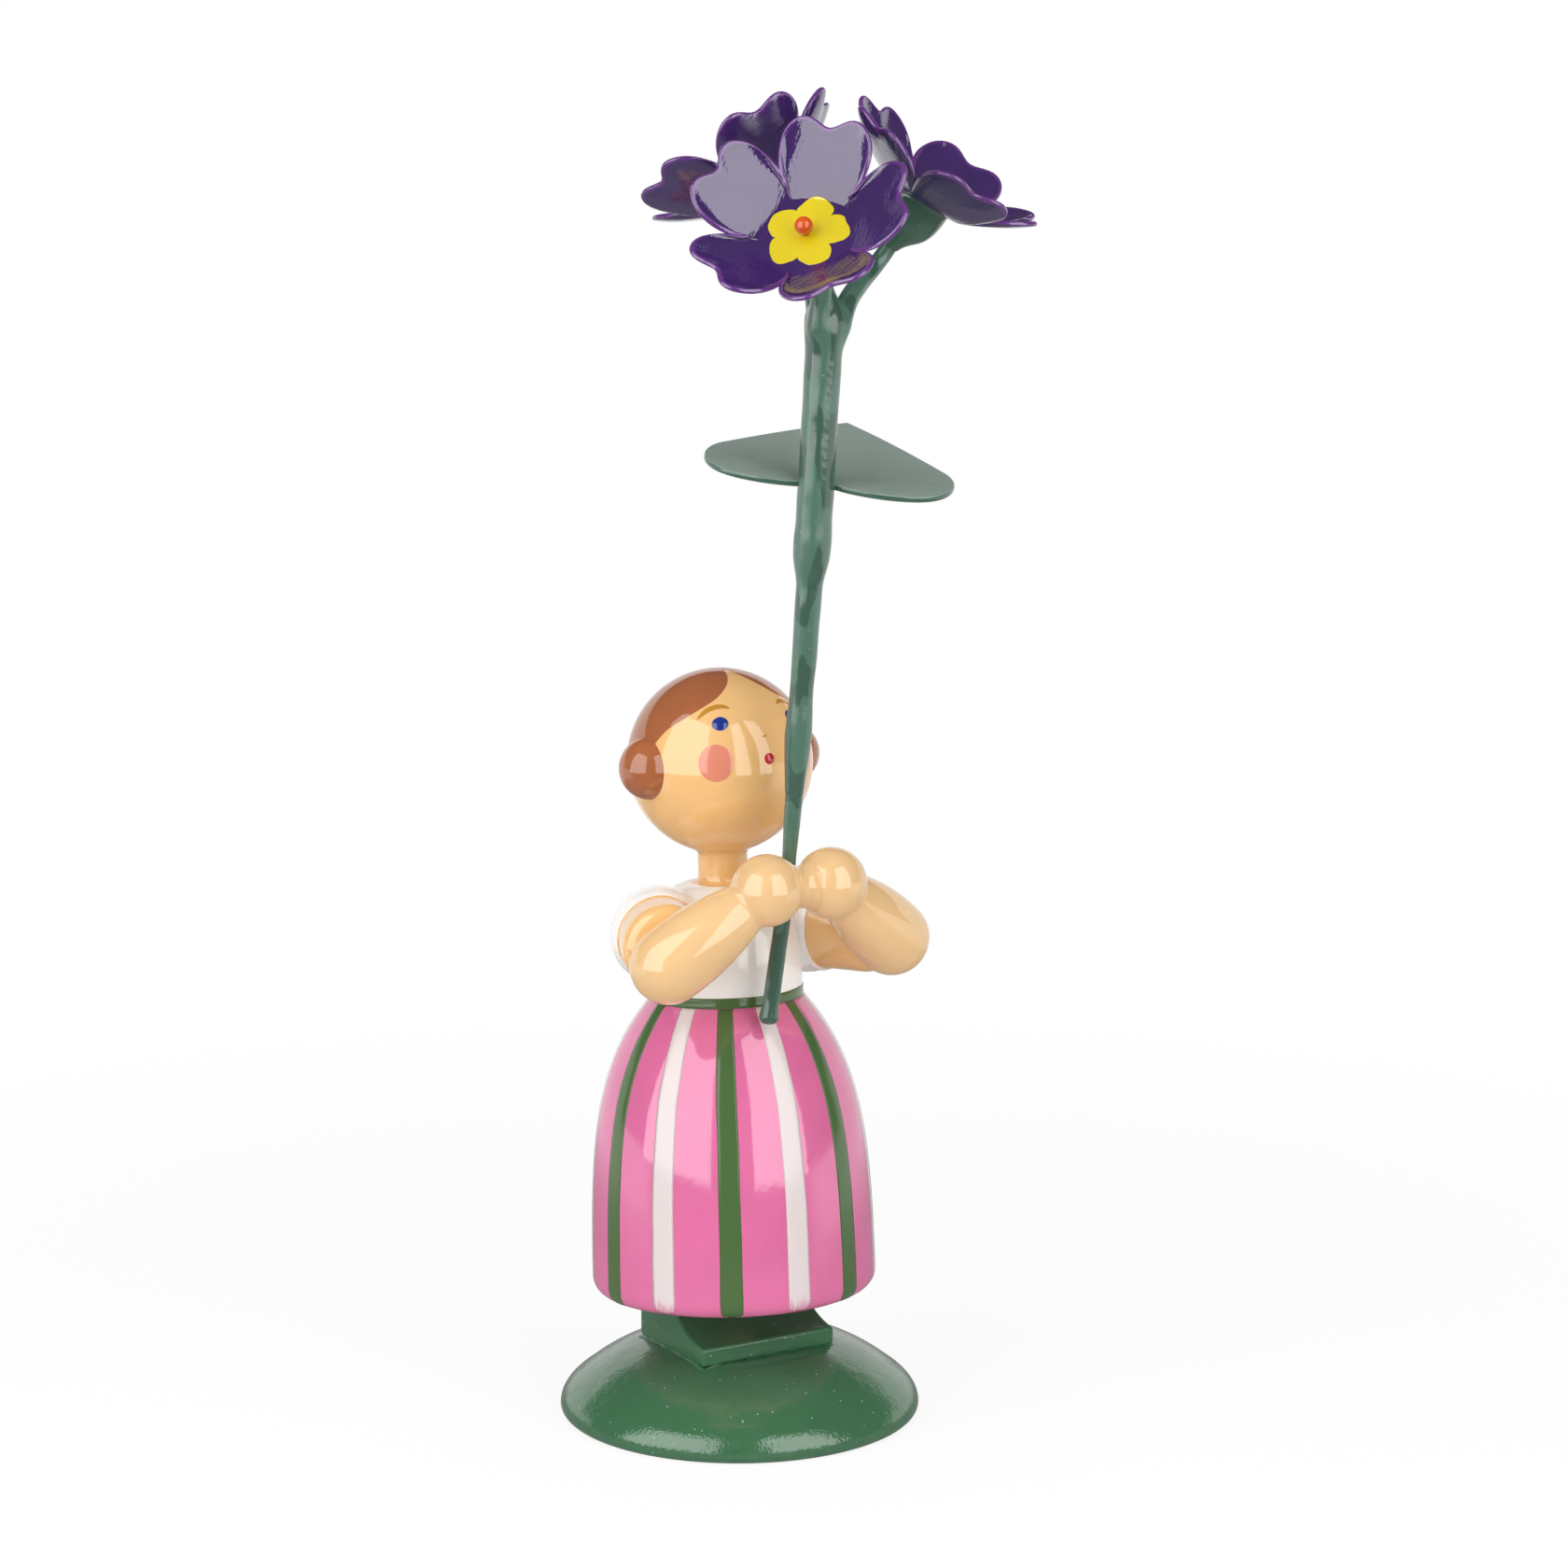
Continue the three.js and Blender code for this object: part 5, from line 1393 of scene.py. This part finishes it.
class FLOWERGIRL_OT_stem(bpy.types.Operator):
    """Makes the stem wire, the lumpy painted wrapping and the stalks that fork from it"""
    bl_idname = "flowergirl.stem"
    bl_label = "Stem"

    def execute(self, context):
        body, arms, flower, paints = settings(context, "body", "arms", "flower", "paints")
        place = girl_place(body)
        # The stem's lacquer carries painted shade: darker patches for the dark parts of its broken-up
        # reflection.
        paint = lacquer("stem_lacquer", paints.stem, mottle=0.14, gloss=0.24, peel=8.0e-6, speck=0.3,
                        lump=2.4e-4, painted_shade_patches=1.0)
        line = stem_points(body, arms, flower, STEM_STEPS)
        nodes = path_tree()
        wire = flower.wire / 2 / MM
        below = [p for p in line if p[2] < flower.wrap_start / MM + WIRE_IN_WRAP]
        run = []
        for p in below:
            past = np.linalg.norm(p - below[0])
            blunt = math.sqrt(max(0.01, 1 - max(0.0, 1 - past / FOOT_ROUND) ** 2))
            swell = np.interp(p[2], SWELL_HEIGHTS, SWELLS)
            swell += FOOT_SWELL * math.exp(-(past / FOOT_SWELL_REACH) ** 2)
            run.append((p, wire * swell * blunt))
        mesh = grown("stem_wire_drawn", path_mesh("wire_path", [run]), nodes, {
            "Sides": 24, "Lump depth": WIRE_LUMP * MM, "Lump scale": WIRE_LUMP_SCALE, "Paint": paint})
        mesh.transform(place)
        add_piece("stem_wire_drawn", mesh, [paint], ["stem_wire"])
        self.wrapping(flower, line, place, paint, nodes)
        return {"FINISHED"}

    def wrapping(self, flower, line, place, paint, nodes):
        start = flower.wrap_start / MM
        step = flower.wrap_step / MM
        top = flower.stem_top / MM
        above = np.array([p for p in line if p[2] >= start - WRAP_OVERLAP])
        lower = flower.wrap_lower / 2 / MM * np.interp(
            above[:, 2] - start, LOWER_HEIGHTS, LOWER_SHARES)
        upper = flower.wrap_upper / 2 / MM
        upper = upper + (flower.fork / 2 / MM - upper) * easing(
            above[:, 2], top - FORK_START, top - FORK_FULL)
        share = easing(above[:, 2], step, step + flower.wrap_step_length / MM)
        radius = lower * (1 - share) + upper * share
        radius = radius + 0.012 * np.sin(above[:, 2] * 1.3) + 0.02 * np.sin(above[:, 2] * 0.61 + 1.0)
        radius = radius + LEAF_LUMP * np.exp(-((above[:, 2] - LEAF_LUMP_HEIGHT) / LEAF_LUMP_REACH) ** 2)
        along = above[-1] - above[-8]
        along = along / np.linalg.norm(along)
        crown = np.array([above[-1] + along * past for past in np.linspace(0.2, CROWN, 12)])
        core = np.concatenate([above, crown])
        radius = np.concatenate([radius, np.full(len(crown), radius[-1])])
        radius = radius * (1 - CROWN_TAPER * easing(core[:, 2], top - 0.8, top + 2.3))
        stalk = flower.stalk / 2 / MM
        runs = [list(zip(core, radius))]
        ring = (flower.stalk / MM + 0.02) / math.sqrt(3)
        for index, blossom in enumerate(BLOSSOMS):
            axis = blossom_axis(blossom)
            way = math.radians(FIRST_STALK_TURN + 120 * index)
            away = np.array([math.cos(way), math.sin(way), 0.0])
            away = away - along * away.dot(along)
            away = away / np.linalg.norm(away)
            mouth = above[-1] - along * MOUTH_BELOW + away * ring * MOUTH_OUT
            entry = np.array(blossom.foot) - axis * (flower.cup_length / MM + CUP_GAP)
            pull = np.linalg.norm(entry - mouth) / 2.4
            ahead = along + (entry - mouth) / np.linalg.norm(entry - mouth)
            ahead = ahead / np.linalg.norm(ahead)
            curve = bend([mouth, mouth + ahead * pull, entry - axis * pull, entry], 40)
            tail = above[-1] - along * TAIL_BELOW + away * ring * TAIL_OUT
            curve = [tail] + list(curve) + [entry + axis * STALK_IN_CUP]
            curve = evened(np.array(curve), 60)
            flare = FLARE * np.exp(-np.linalg.norm(curve - mouth, axis=1) / FLARE_REACH)
            runs.append([(p, stalk + f) for p, f in zip(curve, flare)])
        tubes = grown("stem_tubes", path_mesh("wrap_paths", runs), nodes, {
            "Sides": 32, "Lump depth": WRAP_LUMP * MM, "Lump scale": WRAP_LUMP_SCALE, "Paint": paint})
        rough = linked("stem_tubes", tubes)
        remesh = rough.modifiers.new("Skin", "REMESH")
        remesh.mode = "VOXEL"
        remesh.voxel_size = SKIN_VOXEL * MM
        smooth = rough.modifiers.new("Flow", "SMOOTH")
        smooth.factor = 0.5
        smooth.iterations = SKIN_SMOOTHING
        mesh = settled(rough, "stem_wrap_painted")
        bpy.data.objects.remove(rough)
        mesh.transform(place)
        add_piece("stem_wrap_painted", mesh, [paint],
                  ["stem_wrap", "stalk_front", "stalk_left", "stalk_right"])


# Leaf

LEAF_EDGE_ROUND = 0.17


class FLOWERGIRL_OT_leaf(bpy.types.Operator):
    """Makes the heart-shaped leaf of painted veneer"""
    bl_idname = "flowergirl.leaf"
    bl_label = "Leaf"

    def execute(self, context):
        body, arms, flower, paints = settings(context, "body", "arms", "flower", "paints")
        line = stem_points(body, arms, flower, STEM_STEPS)
        height = flower.leaf_height / MM
        spot = np.array([np.interp(height, line[:, 2], line[:, i]) for i in range(3)])
        turn = (Matrix.Rotation(-flower.leaf_turn, 4, "Z") @ Matrix.Rotation(flower.leaf_rise, 4, "X")
                @ Matrix.Rotation(flower.leaf_roll, 4, "Y"))
        place = girl_place(body) @ Matrix.Translation(Vector(spot) * MM) @ turn
        paint = leaf_paint("leaf_paint", paints.leaf, place)
        half = flower.leaf_width / 2 / MM
        long = flower.leaf_length / MM
        side = joined(
            bend([(0, 1.1), (half * 0.2, -0.5), (half * 0.55, -0.7), (half * 0.78, 0.4)], 14),
            bend([(half * 0.78, 0.4), (half * 1.06, 1.8), (half * 1.1, 6), (half * 0.88, 8.2)], 16),
            bend([(half * 0.88, 8.2), (half * 0.4, long - 3.6), (0, long)], 18),
        )
        outline = side + [(-x, y) for x, y in side[-2:0:-1]]
        outline = [(x + flower.leaf_aside / MM, y - 0.2) for x, y in outline]
        half_thick = flower.leaf_thick / 2 / MM
        blade = bmesh.new()
        face = blade.faces.new([blade.verts.new((x, y, -half_thick)) for x, y in outline])
        grown_up = bmesh.ops.extrude_face_region(blade, geom=[face])
        lifted = [v for v in grown_up["geom"] if isinstance(v, bmesh.types.BMVert)]
        bmesh.ops.translate(blade, verts=lifted, vec=(0, 0, 2 * half_thick))
        bmesh.ops.recalc_face_normals(blade, faces=blade.faces)
        rim = [e for e in blade.edges if abs(e.verts[0].co.z - e.verts[1].co.z) < 1e-6]
        bmesh.ops.bevel(blade, geom=rim, offset=LEAF_EDGE_ROUND, segments=3, profile=0.5, affect="EDGES")
        mesh = cut_mesh("leaf_cut", blade)
        edge_paint = lacquer("leaf_edge_lacquer", darker(paints.stem, 0.7), gloss=0.08)
        on_edge = [int(abs(f.normal.z) < 0.6) for f in mesh.polygons]
        mesh.transform(place)
        piece = add_piece("leaf_cut", mesh, [paint, edge_paint], ["leaf"], on_edge)
        piece.data.set_sharp_from_angle(angle=math.radians(50))
        return {"FINISHED"}


# Blossoms

PETAL_COLUMNS = 44
PETAL_ROWS = np.concatenate([np.linspace(0.0, 0.34, 7), np.linspace(0.36, 0.48, 8),
                             np.linspace(0.52, 0.97, 15), [0.985, 1.0]])
PETAL_VARIES = 0.12
SHEET_LIFT = 0.3
PIN_SHAFT, PIN_DEPTH, PIN_HEAD_LIFT = 0.3, 1.6, 0.12


def off_middle(flower, turn):
    """The turn from the middle of the nearest petal, and half a petal's turn."""
    half = math.pi / flower.petals
    return np.mod(turn + half, 2 * half) - half, half


def petal_reach(flower, turn):
    """How far a blossom's outline reaches at a turn, in millimetres."""
    across, half = off_middle(flower, turn)
    share = np.abs(across) / half
    cleft = flower.cleft / 2 / MM
    lobe = np.sqrt(np.maximum(0, 1 - share ** 2.8))
    notch = flower.notch / MM * np.exp(-((share / 0.28) ** 2))
    return cleft + (flower.blossom / 2 / MM + 0.15 - cleft) * lobe - notch


def bowl_height(flower, reach, turn, tilt):
    """How high a blossom's sheet stands over its floor, in millimetres."""
    floor = flower.floor / 2 / MM
    span = flower.blossom / 2 / MM - floor
    across = off_middle(flower, turn)[0]
    share = np.maximum(0, reach * np.sqrt(np.cos(across)) - floor) / span
    fold = np.sqrt(share ** 2 + 0.012) - 0.1095
    curl = np.clip((reach / petal_reach(flower, turn) - 0.77) / 0.23, 0, 1.1) ** 2
    return flower.depth / MM * fold ** 1.02 * (1 + tilt) + flower.curl / MM * curl


class FLOWERGIRL_OT_blossoms(bpy.types.Operator):
    """Makes the bowl-shaped blossoms, the cups under them and the pins in their middles"""
    bl_idname = "flowergirl.blossoms"
    bl_label = "Blossoms"

    def execute(self, context):
        body, flower, paints = settings(context, "body", "flower", "paints")
        place = girl_place(body)
        purple = petal_paint("petal_lacquer", paints)
        for seed, blossom in enumerate(BLOSSOMS):
            self.bowl(blossom, flower, place, purple, 101 + seed)
        green = lacquer("cup_lacquer", darker(paints.stem, 0.72), mottle=0.12, peel=8.0e-6, speck=0.2)
        orange = lacquer("bead_lacquer", paints.bead, mottle=0.12, gloss=0.06, peel=2.0e-6)
        long = flower.cup_length / MM
        wide = flower.cup / 2 / MM
        profile = joined(
            [(0, 0.0), (0.8, 0.0)],
            bend([(0.8, 0.0), (1.35, long / 3), (wide, long / 4), (wide, long - 0.25)], 34),
            bend([(wide, long - 0.25), (wide + 0.02, long + 0.1), (wide + 0.28, long + 0.22)], 6),
            [(wide - 0.6, long + 0.25), (0, long + 0.25)],
        )
        names = [b.name for b in BLOSSOMS]
        self.copies("cups_turned", profile, 64, -long - CUP_GAP, green, ["cup_" + n for n in names],
                    "cup_green", place)
        ball = flower.bead / 2 / MM
        start = math.acos(PIN_SHAFT / ball)
        middle = PIN_HEAD_LIFT + ball * math.sin(start)
        pin = joined(
            [(0, -PIN_DEPTH), (PIN_SHAFT, -PIN_DEPTH), (PIN_SHAFT, 0.1)],
            arc(0, middle, ball, -start + 0.05, math.pi / 2 - 0.03, 26),
            [(0, middle + ball)],
        )
        self.copies("pins_turned", pin, 48, flower.petal_thick / MM + SHEET_LIFT, orange,
                    ["stamen_pin_" + n for n in names], "pin_orange", place)
        return {"FINISHED"}

    def copies(self, name, profile, sides, lift, paint, nodes, slot, place):
        """One turned form set on each blossom's axis."""
        points, faces = lathe(profile, sides)
        master = linked(name + "_master", mesh_of(name + "_master", points, faces))
        spots, turns = [], []
        for blossom in BLOSSOMS:
            matrix = blossom_place(blossom, lift)
            spots.append(matrix.to_translation() * MM)
            turns.append(matrix.to_euler())
        mesh = grown(name, spots_mesh(name + "_spots", spots, turns), copies_tree(), {
            "Copy": master, "Waver": 0.0, "Waver size": 100.0, "Paint": paint})
        bpy.data.objects.remove(master)
        mesh.transform(place)
        add_piece(name, mesh, [paint], nodes)

    def bowl(self, blossom, flower, place, paint, seed):
        """A thin bowl of heart-shaped petals with a rounded paint bead along its edge."""
        petals = flower.petals
        per_petal = PETAL_COLUMNS
        slice_angle = 2 * math.pi / petals
        spread = -np.cos(np.arange(per_petal) * (math.pi / per_petal)) / 2
        turns = np.concatenate([(k + spread) * slice_angle for k in range(petals)])
        dice = np.random.default_rng(seed)
        tilts = np.resize(blossom.tilts, petals)
        inside = np.abs(np.tile(spread, petals)) * 2
        tilt = np.repeat(tilts, per_petal) * (1 - inside ** 2)
        varied = np.repeat(dice.uniform(-PETAL_VARIES, PETAL_VARIES, petals), per_petal)
        reach = petal_reach(flower, turns) + varied * (1 - inside ** 2)
        shares = PETAL_ROWS
        half = flower.petal_thick / 2 / MM
        middle = np.outer(shares, reach)
        grid = np.empty((len(shares), len(turns), 3))
        for i, row in enumerate(middle):
            grid[i, :, 0] = row * np.cos(turns)
            grid[i, :, 1] = row * np.sin(turns)
            grid[i, :, 2] = bowl_height(flower, row, turns, tilt) + SHEET_LIFT
        grid[0, :, :2] = 0.0
        around = np.roll(grid, -1, axis=1) - np.roll(grid, 1, axis=1)
        outward = np.gradient(grid, axis=0)
        facing = np.cross(outward, around)
        sizes = np.linalg.norm(facing, axis=2, keepdims=True)
        facing = np.where(sizes > 1e-9, facing / np.maximum(sizes, 1e-9), np.array([0.0, 0.0, 1.0]))
        facing[0] = (0.0, 0.0, 1.0)
        bead = half * (0.92 + 0.22 * np.clip((shares - 0.86) / 0.14, 0, 1))
        top = grid + facing * bead[:, None, None]
        bottom = grid - facing * bead[:, None, None]
        edge = grid[-1] - grid[-2]
        edge = edge / np.linalg.norm(edge, axis=1)[:, None]
        rows = [top[i] for i in range(1, len(shares))]
        rims = list(shares[1:])
        sides = [1.0] * len(rims)
        for t in np.linspace(0, math.pi, 9)[1:-1]:
            rows.append(grid[-1] + (facing[-1] * math.cos(t) + edge * 0.8 * math.sin(t)) * bead[-1])
            rims.append(1.04)
            sides.append(1.0 if t < math.pi / 2 else 0.0)
        for i in range(len(shares) - 1, 0, -1):
            rows.append(bottom[i])
            rims.append(shares[i])
            sides.append(0.0)
        count_around = len(turns)
        points = np.concatenate([[top[0, 0]], np.concatenate(rows), [bottom[0, 0]]])
        rim_of = np.concatenate([[0.0], np.repeat(rims, count_around), [0.0]])
        side_of = np.concatenate([[1.0], np.repeat(sides, count_around), [0.0]])
        faces = []
        for j in range(count_around):
            k = (j + 1) % count_around
            faces.append([0, 1 + j, 1 + k])
            for i in range(len(rows) - 1):
                a, b = 1 + i * count_around, 1 + (i + 1) * count_around
                faces.append([a + j, b + j, b + k, a + k])
            last = 1 + (len(rows) - 1) * count_around
            faces.append([last + j, len(points) - 1, last + k])
        name = "blossom_" + blossom.name
        mesh = plain_mesh(name, moved(points, blossom_place(blossom)), faces)
        for label, values in (("bloom", points), ("rim", rim_of), ("inside", side_of)):
            tagged(mesh, label, values)
        mesh.transform(place)
        add_piece(name + "_formed", mesh, [paint], [name])


# Hidden dowel

class FLOWERGIRL_OT_dowel(bpy.types.Operator):
    """Gives the dowel inside the skirt its bare wood"""
    bl_idname = "flowergirl.dowel"
    bl_label = "Dowel"

    def execute(self, context):
        paints, = settings(context, "paints")
        wood = bare_wood("dowel_wood", paints.wood)
        dowel = frame["nodes"]["stand_dowel"]
        dowel.data.materials.clear()
        dowel.data.materials.append(wood)
        return {"FINISHED"}


# Stage, in metres

LAMP_DISTANCE, LAMP_HEIGHT = 0.24, 0.21
LEFT_TURN, LEFT_SIZE = -46, (0.28, 0.38)
RIGHT_TURN, RIGHT_SIZE = 43, (0.21, 0.38)
TOP_SIZE, TOP_HEIGHT = 0.7, 0.7
BOARD_HALF, BOARD_BEHIND, BOARD_TALL = 0.8, 0.28, 0.2
FLOOR_HALF, FLOOR_FADE_START, FLOOR_FADE_END = 4.0, 70.0, 170.0
FLOOR_GLOW, FLOOR_GLOW_SHARE = 1.02, 0.85
SENSOR = 36.0
WHITE = (1.0, 1.0, 1.0)


class FLOWERGIRL_OT_stage(bpy.types.Operator):
    """Makes the pale floor, the soft studio light and the camera"""
    bl_idname = "flowergirl.stage"
    bl_label = "Stage"

    def execute(self, context):
        stage, = settings(context, "stage")
        scene = context.scene
        scene.view_settings.view_transform = "Standard"
        across = Vector((math.cos(stage.azimuth), math.sin(stage.azimuth), 0))
        level_back = Vector((math.sin(stage.azimuth), -math.cos(stage.azimuth), 0))
        back = level_back * math.cos(stage.elevation) + Vector((0, 0, math.sin(stage.elevation)))
        aim = across * stage.aim_aside + Vector((0, 0, stage.aim_height))
        camera = bpy.data.cameras.new("photo_camera")
        camera.sensor_width = SENSOR
        camera.lens = stage.focal_pixels * SENSOR / PHOTO_PIXELS
        camera.clip_start = 0.01
        camera.clip_end = 20.0
        eye = linked("photo_camera", camera)
        eye.location = aim + back * stage.distance
        eye.rotation_mode = "QUATERNION"
        eye.rotation_quaternion = (-back).to_track_quat("-Z", "Y")
        scene.camera = eye
        self.floor()
        self.backdrop(across, level_back)
        self.softbox("softbox_left", LEFT_TURN, LEFT_SIZE, stage.left_power, stage.azimuth)
        self.softbox("softbox_right", RIGHT_TURN, RIGHT_SIZE, stage.right_power, stage.azimuth)
        self.overhead(stage.top_power)
        self.surround(scene, stage, level_back)
        return {"FINISHED"}

    def floor(self):
        grid = bmesh.new()
        bmesh.ops.create_grid(grid, x_segments=8, y_segments=8, size=FLOOR_HALF)
        mesh = bpy.data.meshes.new("floor")
        grid.to_mesh(mesh)
        grid.free()
        pot = PaintPot("floor_paper")
        here = pot.place()
        fibre = pot.noise(here, 0.05, 2.0)
        pale = pot.tint(fibre * 0.1, (0.88, 0.88, 0.88), (0.85, 0.85, 0.85))
        paper = pot.make("ShaderNodeBsdfDiffuse", None, {"Color": pale})
        seen, shiny = pot.ray("Is Camera Ray"), pot.ray("Is Glossy Ray")
        glow = pot.make("ShaderNodeEmission", None, {
            "Color": pot.tint(shiny, WHITE, (0.32, 0.32, 0.32)), "Strength": FLOOR_GLOW})
        lit = pot.mixed(seen * FLOOR_GLOW_SHARE + shiny, paper, glow)
        reach = pot.make("ShaderNodeVectorMath", {"operation": "LENGTH"}, {0: here}, output="Value")
        gone = pot.make("ShaderNodeBsdfTransparent")
        faded = pot.ease(reach, FLOOR_FADE_START, FLOOR_FADE_END)
        pot.make_output(pot.mixed(faded, lit, gone))
        mesh.materials.append(pot.material)
        floor = linked("floor", mesh)

    def backdrop(self, across, level_back):
        """A low white board behind the figure that only its gloss shows."""
        half = across * BOARD_HALF
        foot = level_back * -BOARD_BEHIND
        tall = Vector((0, 0, BOARD_TALL))
        mesh = bpy.data.meshes.new("backdrop")
        corners = [foot - half, foot + half, foot + half + tall, foot - half + tall]
        mesh.from_pydata(corners, [], [[0, 1, 2, 3]])
        pot = PaintPot("backdrop_board")
        gone = pot.make("ShaderNodeBsdfTransparent")
        glow = pot.make("ShaderNodeEmission", None, {"Color": (*WHITE, 1.0), "Strength": 1.0})
        pot.make_output(pot.mixed(pot.ray("Is Glossy Ray"), gone, glow))
        mesh.materials.append(pot.material)
        board = linked("backdrop", mesh)

    def softbox(self, name, turn, size, power, camera_turn):
        way = camera_turn + math.radians(turn)
        out = Vector((math.sin(way), -math.cos(way), 0))
        box = self.lamp(name, "RECTANGLE", power, out * LAMP_DISTANCE + Vector((0, 0, LAMP_HEIGHT)))
        box.data.size, box.data.size_y = size
        box.rotation_mode = "QUATERNION"
        box.rotation_quaternion = (-out).to_track_quat("-Z", "Y")

    def overhead(self, power):
        box = self.lamp("softbox_top", "DISK", power, (0.0, 0.0, TOP_HEIGHT))
        box.data.size = TOP_SIZE
        box.visible_glossy = False

    def lamp(self, name, shape, power, location):
        light = bpy.data.lights.new(name, "AREA")
        light.shape = shape
        light.energy = power
        box = linked(name, light)
        box.location = location
        box.visible_camera = False
        return box

    def surround(self, scene, stage, level_back):
        """White where the camera looks, a white table for the gloss, and even light elsewhere."""
        world = bpy.data.worlds.new("studio")
        world.use_nodes = True
        scene.world = world
        pot = PaintPot("studio", world.node_tree)
        way = pot.make("ShaderNodeTexCoord", output="Generated")
        x, y, z = pot.split(way)
        towards = x * level_back.x + y * level_back.y
        table = pot.ease(z, -0.62, -0.40) * (1.0 - pot.ease(z, -0.03, 0.01))
        gloss = 0.10 + table * (1.0 - pot.ease(towards, 0.2, 0.5)) * 0.90
        seen, shiny, clear = [pot.ray(f"Is {kind} Ray") for kind in ("Camera", "Glossy", "Transmission")]
        others = (1.0 - seen) * (1.0 - shiny) * (1.0 - clear)
        strength = seen + clear + shiny * gloss + others * stage.ambient
        light = pot.make("ShaderNodeBackground", None, {"Color": (*WHITE, 1.0), "Strength": strength})
        pot.make_output(light)


class FLOWERGIRL_PT_panel(bpy.types.Panel):
    """Lists the pieces of the figure"""
    bl_idname = "FLOWERGIRL_PT_panel"
    bl_label = "Flower girl"
    bl_space_type = "VIEW_3D"
    bl_region_type = "UI"
    bl_category = "Flower girl"

    def draw(self, context):
        for operator in OPERATORS:
            self.layout.operator(operator.bl_idname)
        for group in settings(context, *GROUPS):
            box = self.layout.box()
            for name in group.bl_rna.properties.keys():
                if name not in ("rna_type", "name"):
                    box.prop(group, name)


OPERATORS = (
    FLOWERGIRL_OT_stage,
    FLOWERGIRL_OT_stand,
    FLOWERGIRL_OT_skirt,
    FLOWERGIRL_OT_blouse,
    FLOWERGIRL_OT_head,
    FLOWERGIRL_OT_arms,
    FLOWERGIRL_OT_stem,
    FLOWERGIRL_OT_leaf,
    FLOWERGIRL_OT_blossoms,
    FLOWERGIRL_OT_dowel,
)
GROUPS = {
    "stand": StandSizes,
    "body": BodySizes,
    "arms": ArmSizes,
    "flower": FlowerSizes,
    "paints": PaintColours,
    "stage": StageSettings,
}


def register():
    for name, group in GROUPS.items():
        bpy.utils.register_class(group)
        setattr(bpy.types.Scene, PREFIX + name, bpy.props.PointerProperty(type=group))
    for operator in OPERATORS:
        bpy.utils.register_class(operator)
    bpy.utils.register_class(FLOWERGIRL_PT_panel)


def unregister():
    bpy.utils.unregister_class(FLOWERGIRL_PT_panel)
    for operator in reversed(OPERATORS):
        bpy.utils.unregister_class(operator)
    for name, group in reversed(GROUPS.items()):
        delattr(bpy.types.Scene, PREFIX + name)
        bpy.utils.unregister_class(group)


def main():
    register()
    bpy.ops.flowergirl.stage()
    bpy.ops.flowergirl.stand()
    bpy.ops.flowergirl.skirt()
    bpy.ops.flowergirl.blouse()
    bpy.ops.flowergirl.head()
    bpy.ops.flowergirl.arms()
    bpy.ops.flowergirl.stem()
    bpy.ops.flowergirl.leaf()
    bpy.ops.flowergirl.blossoms()
    bpy.ops.flowergirl.dowel()


if __name__ == "__main__":
    main()
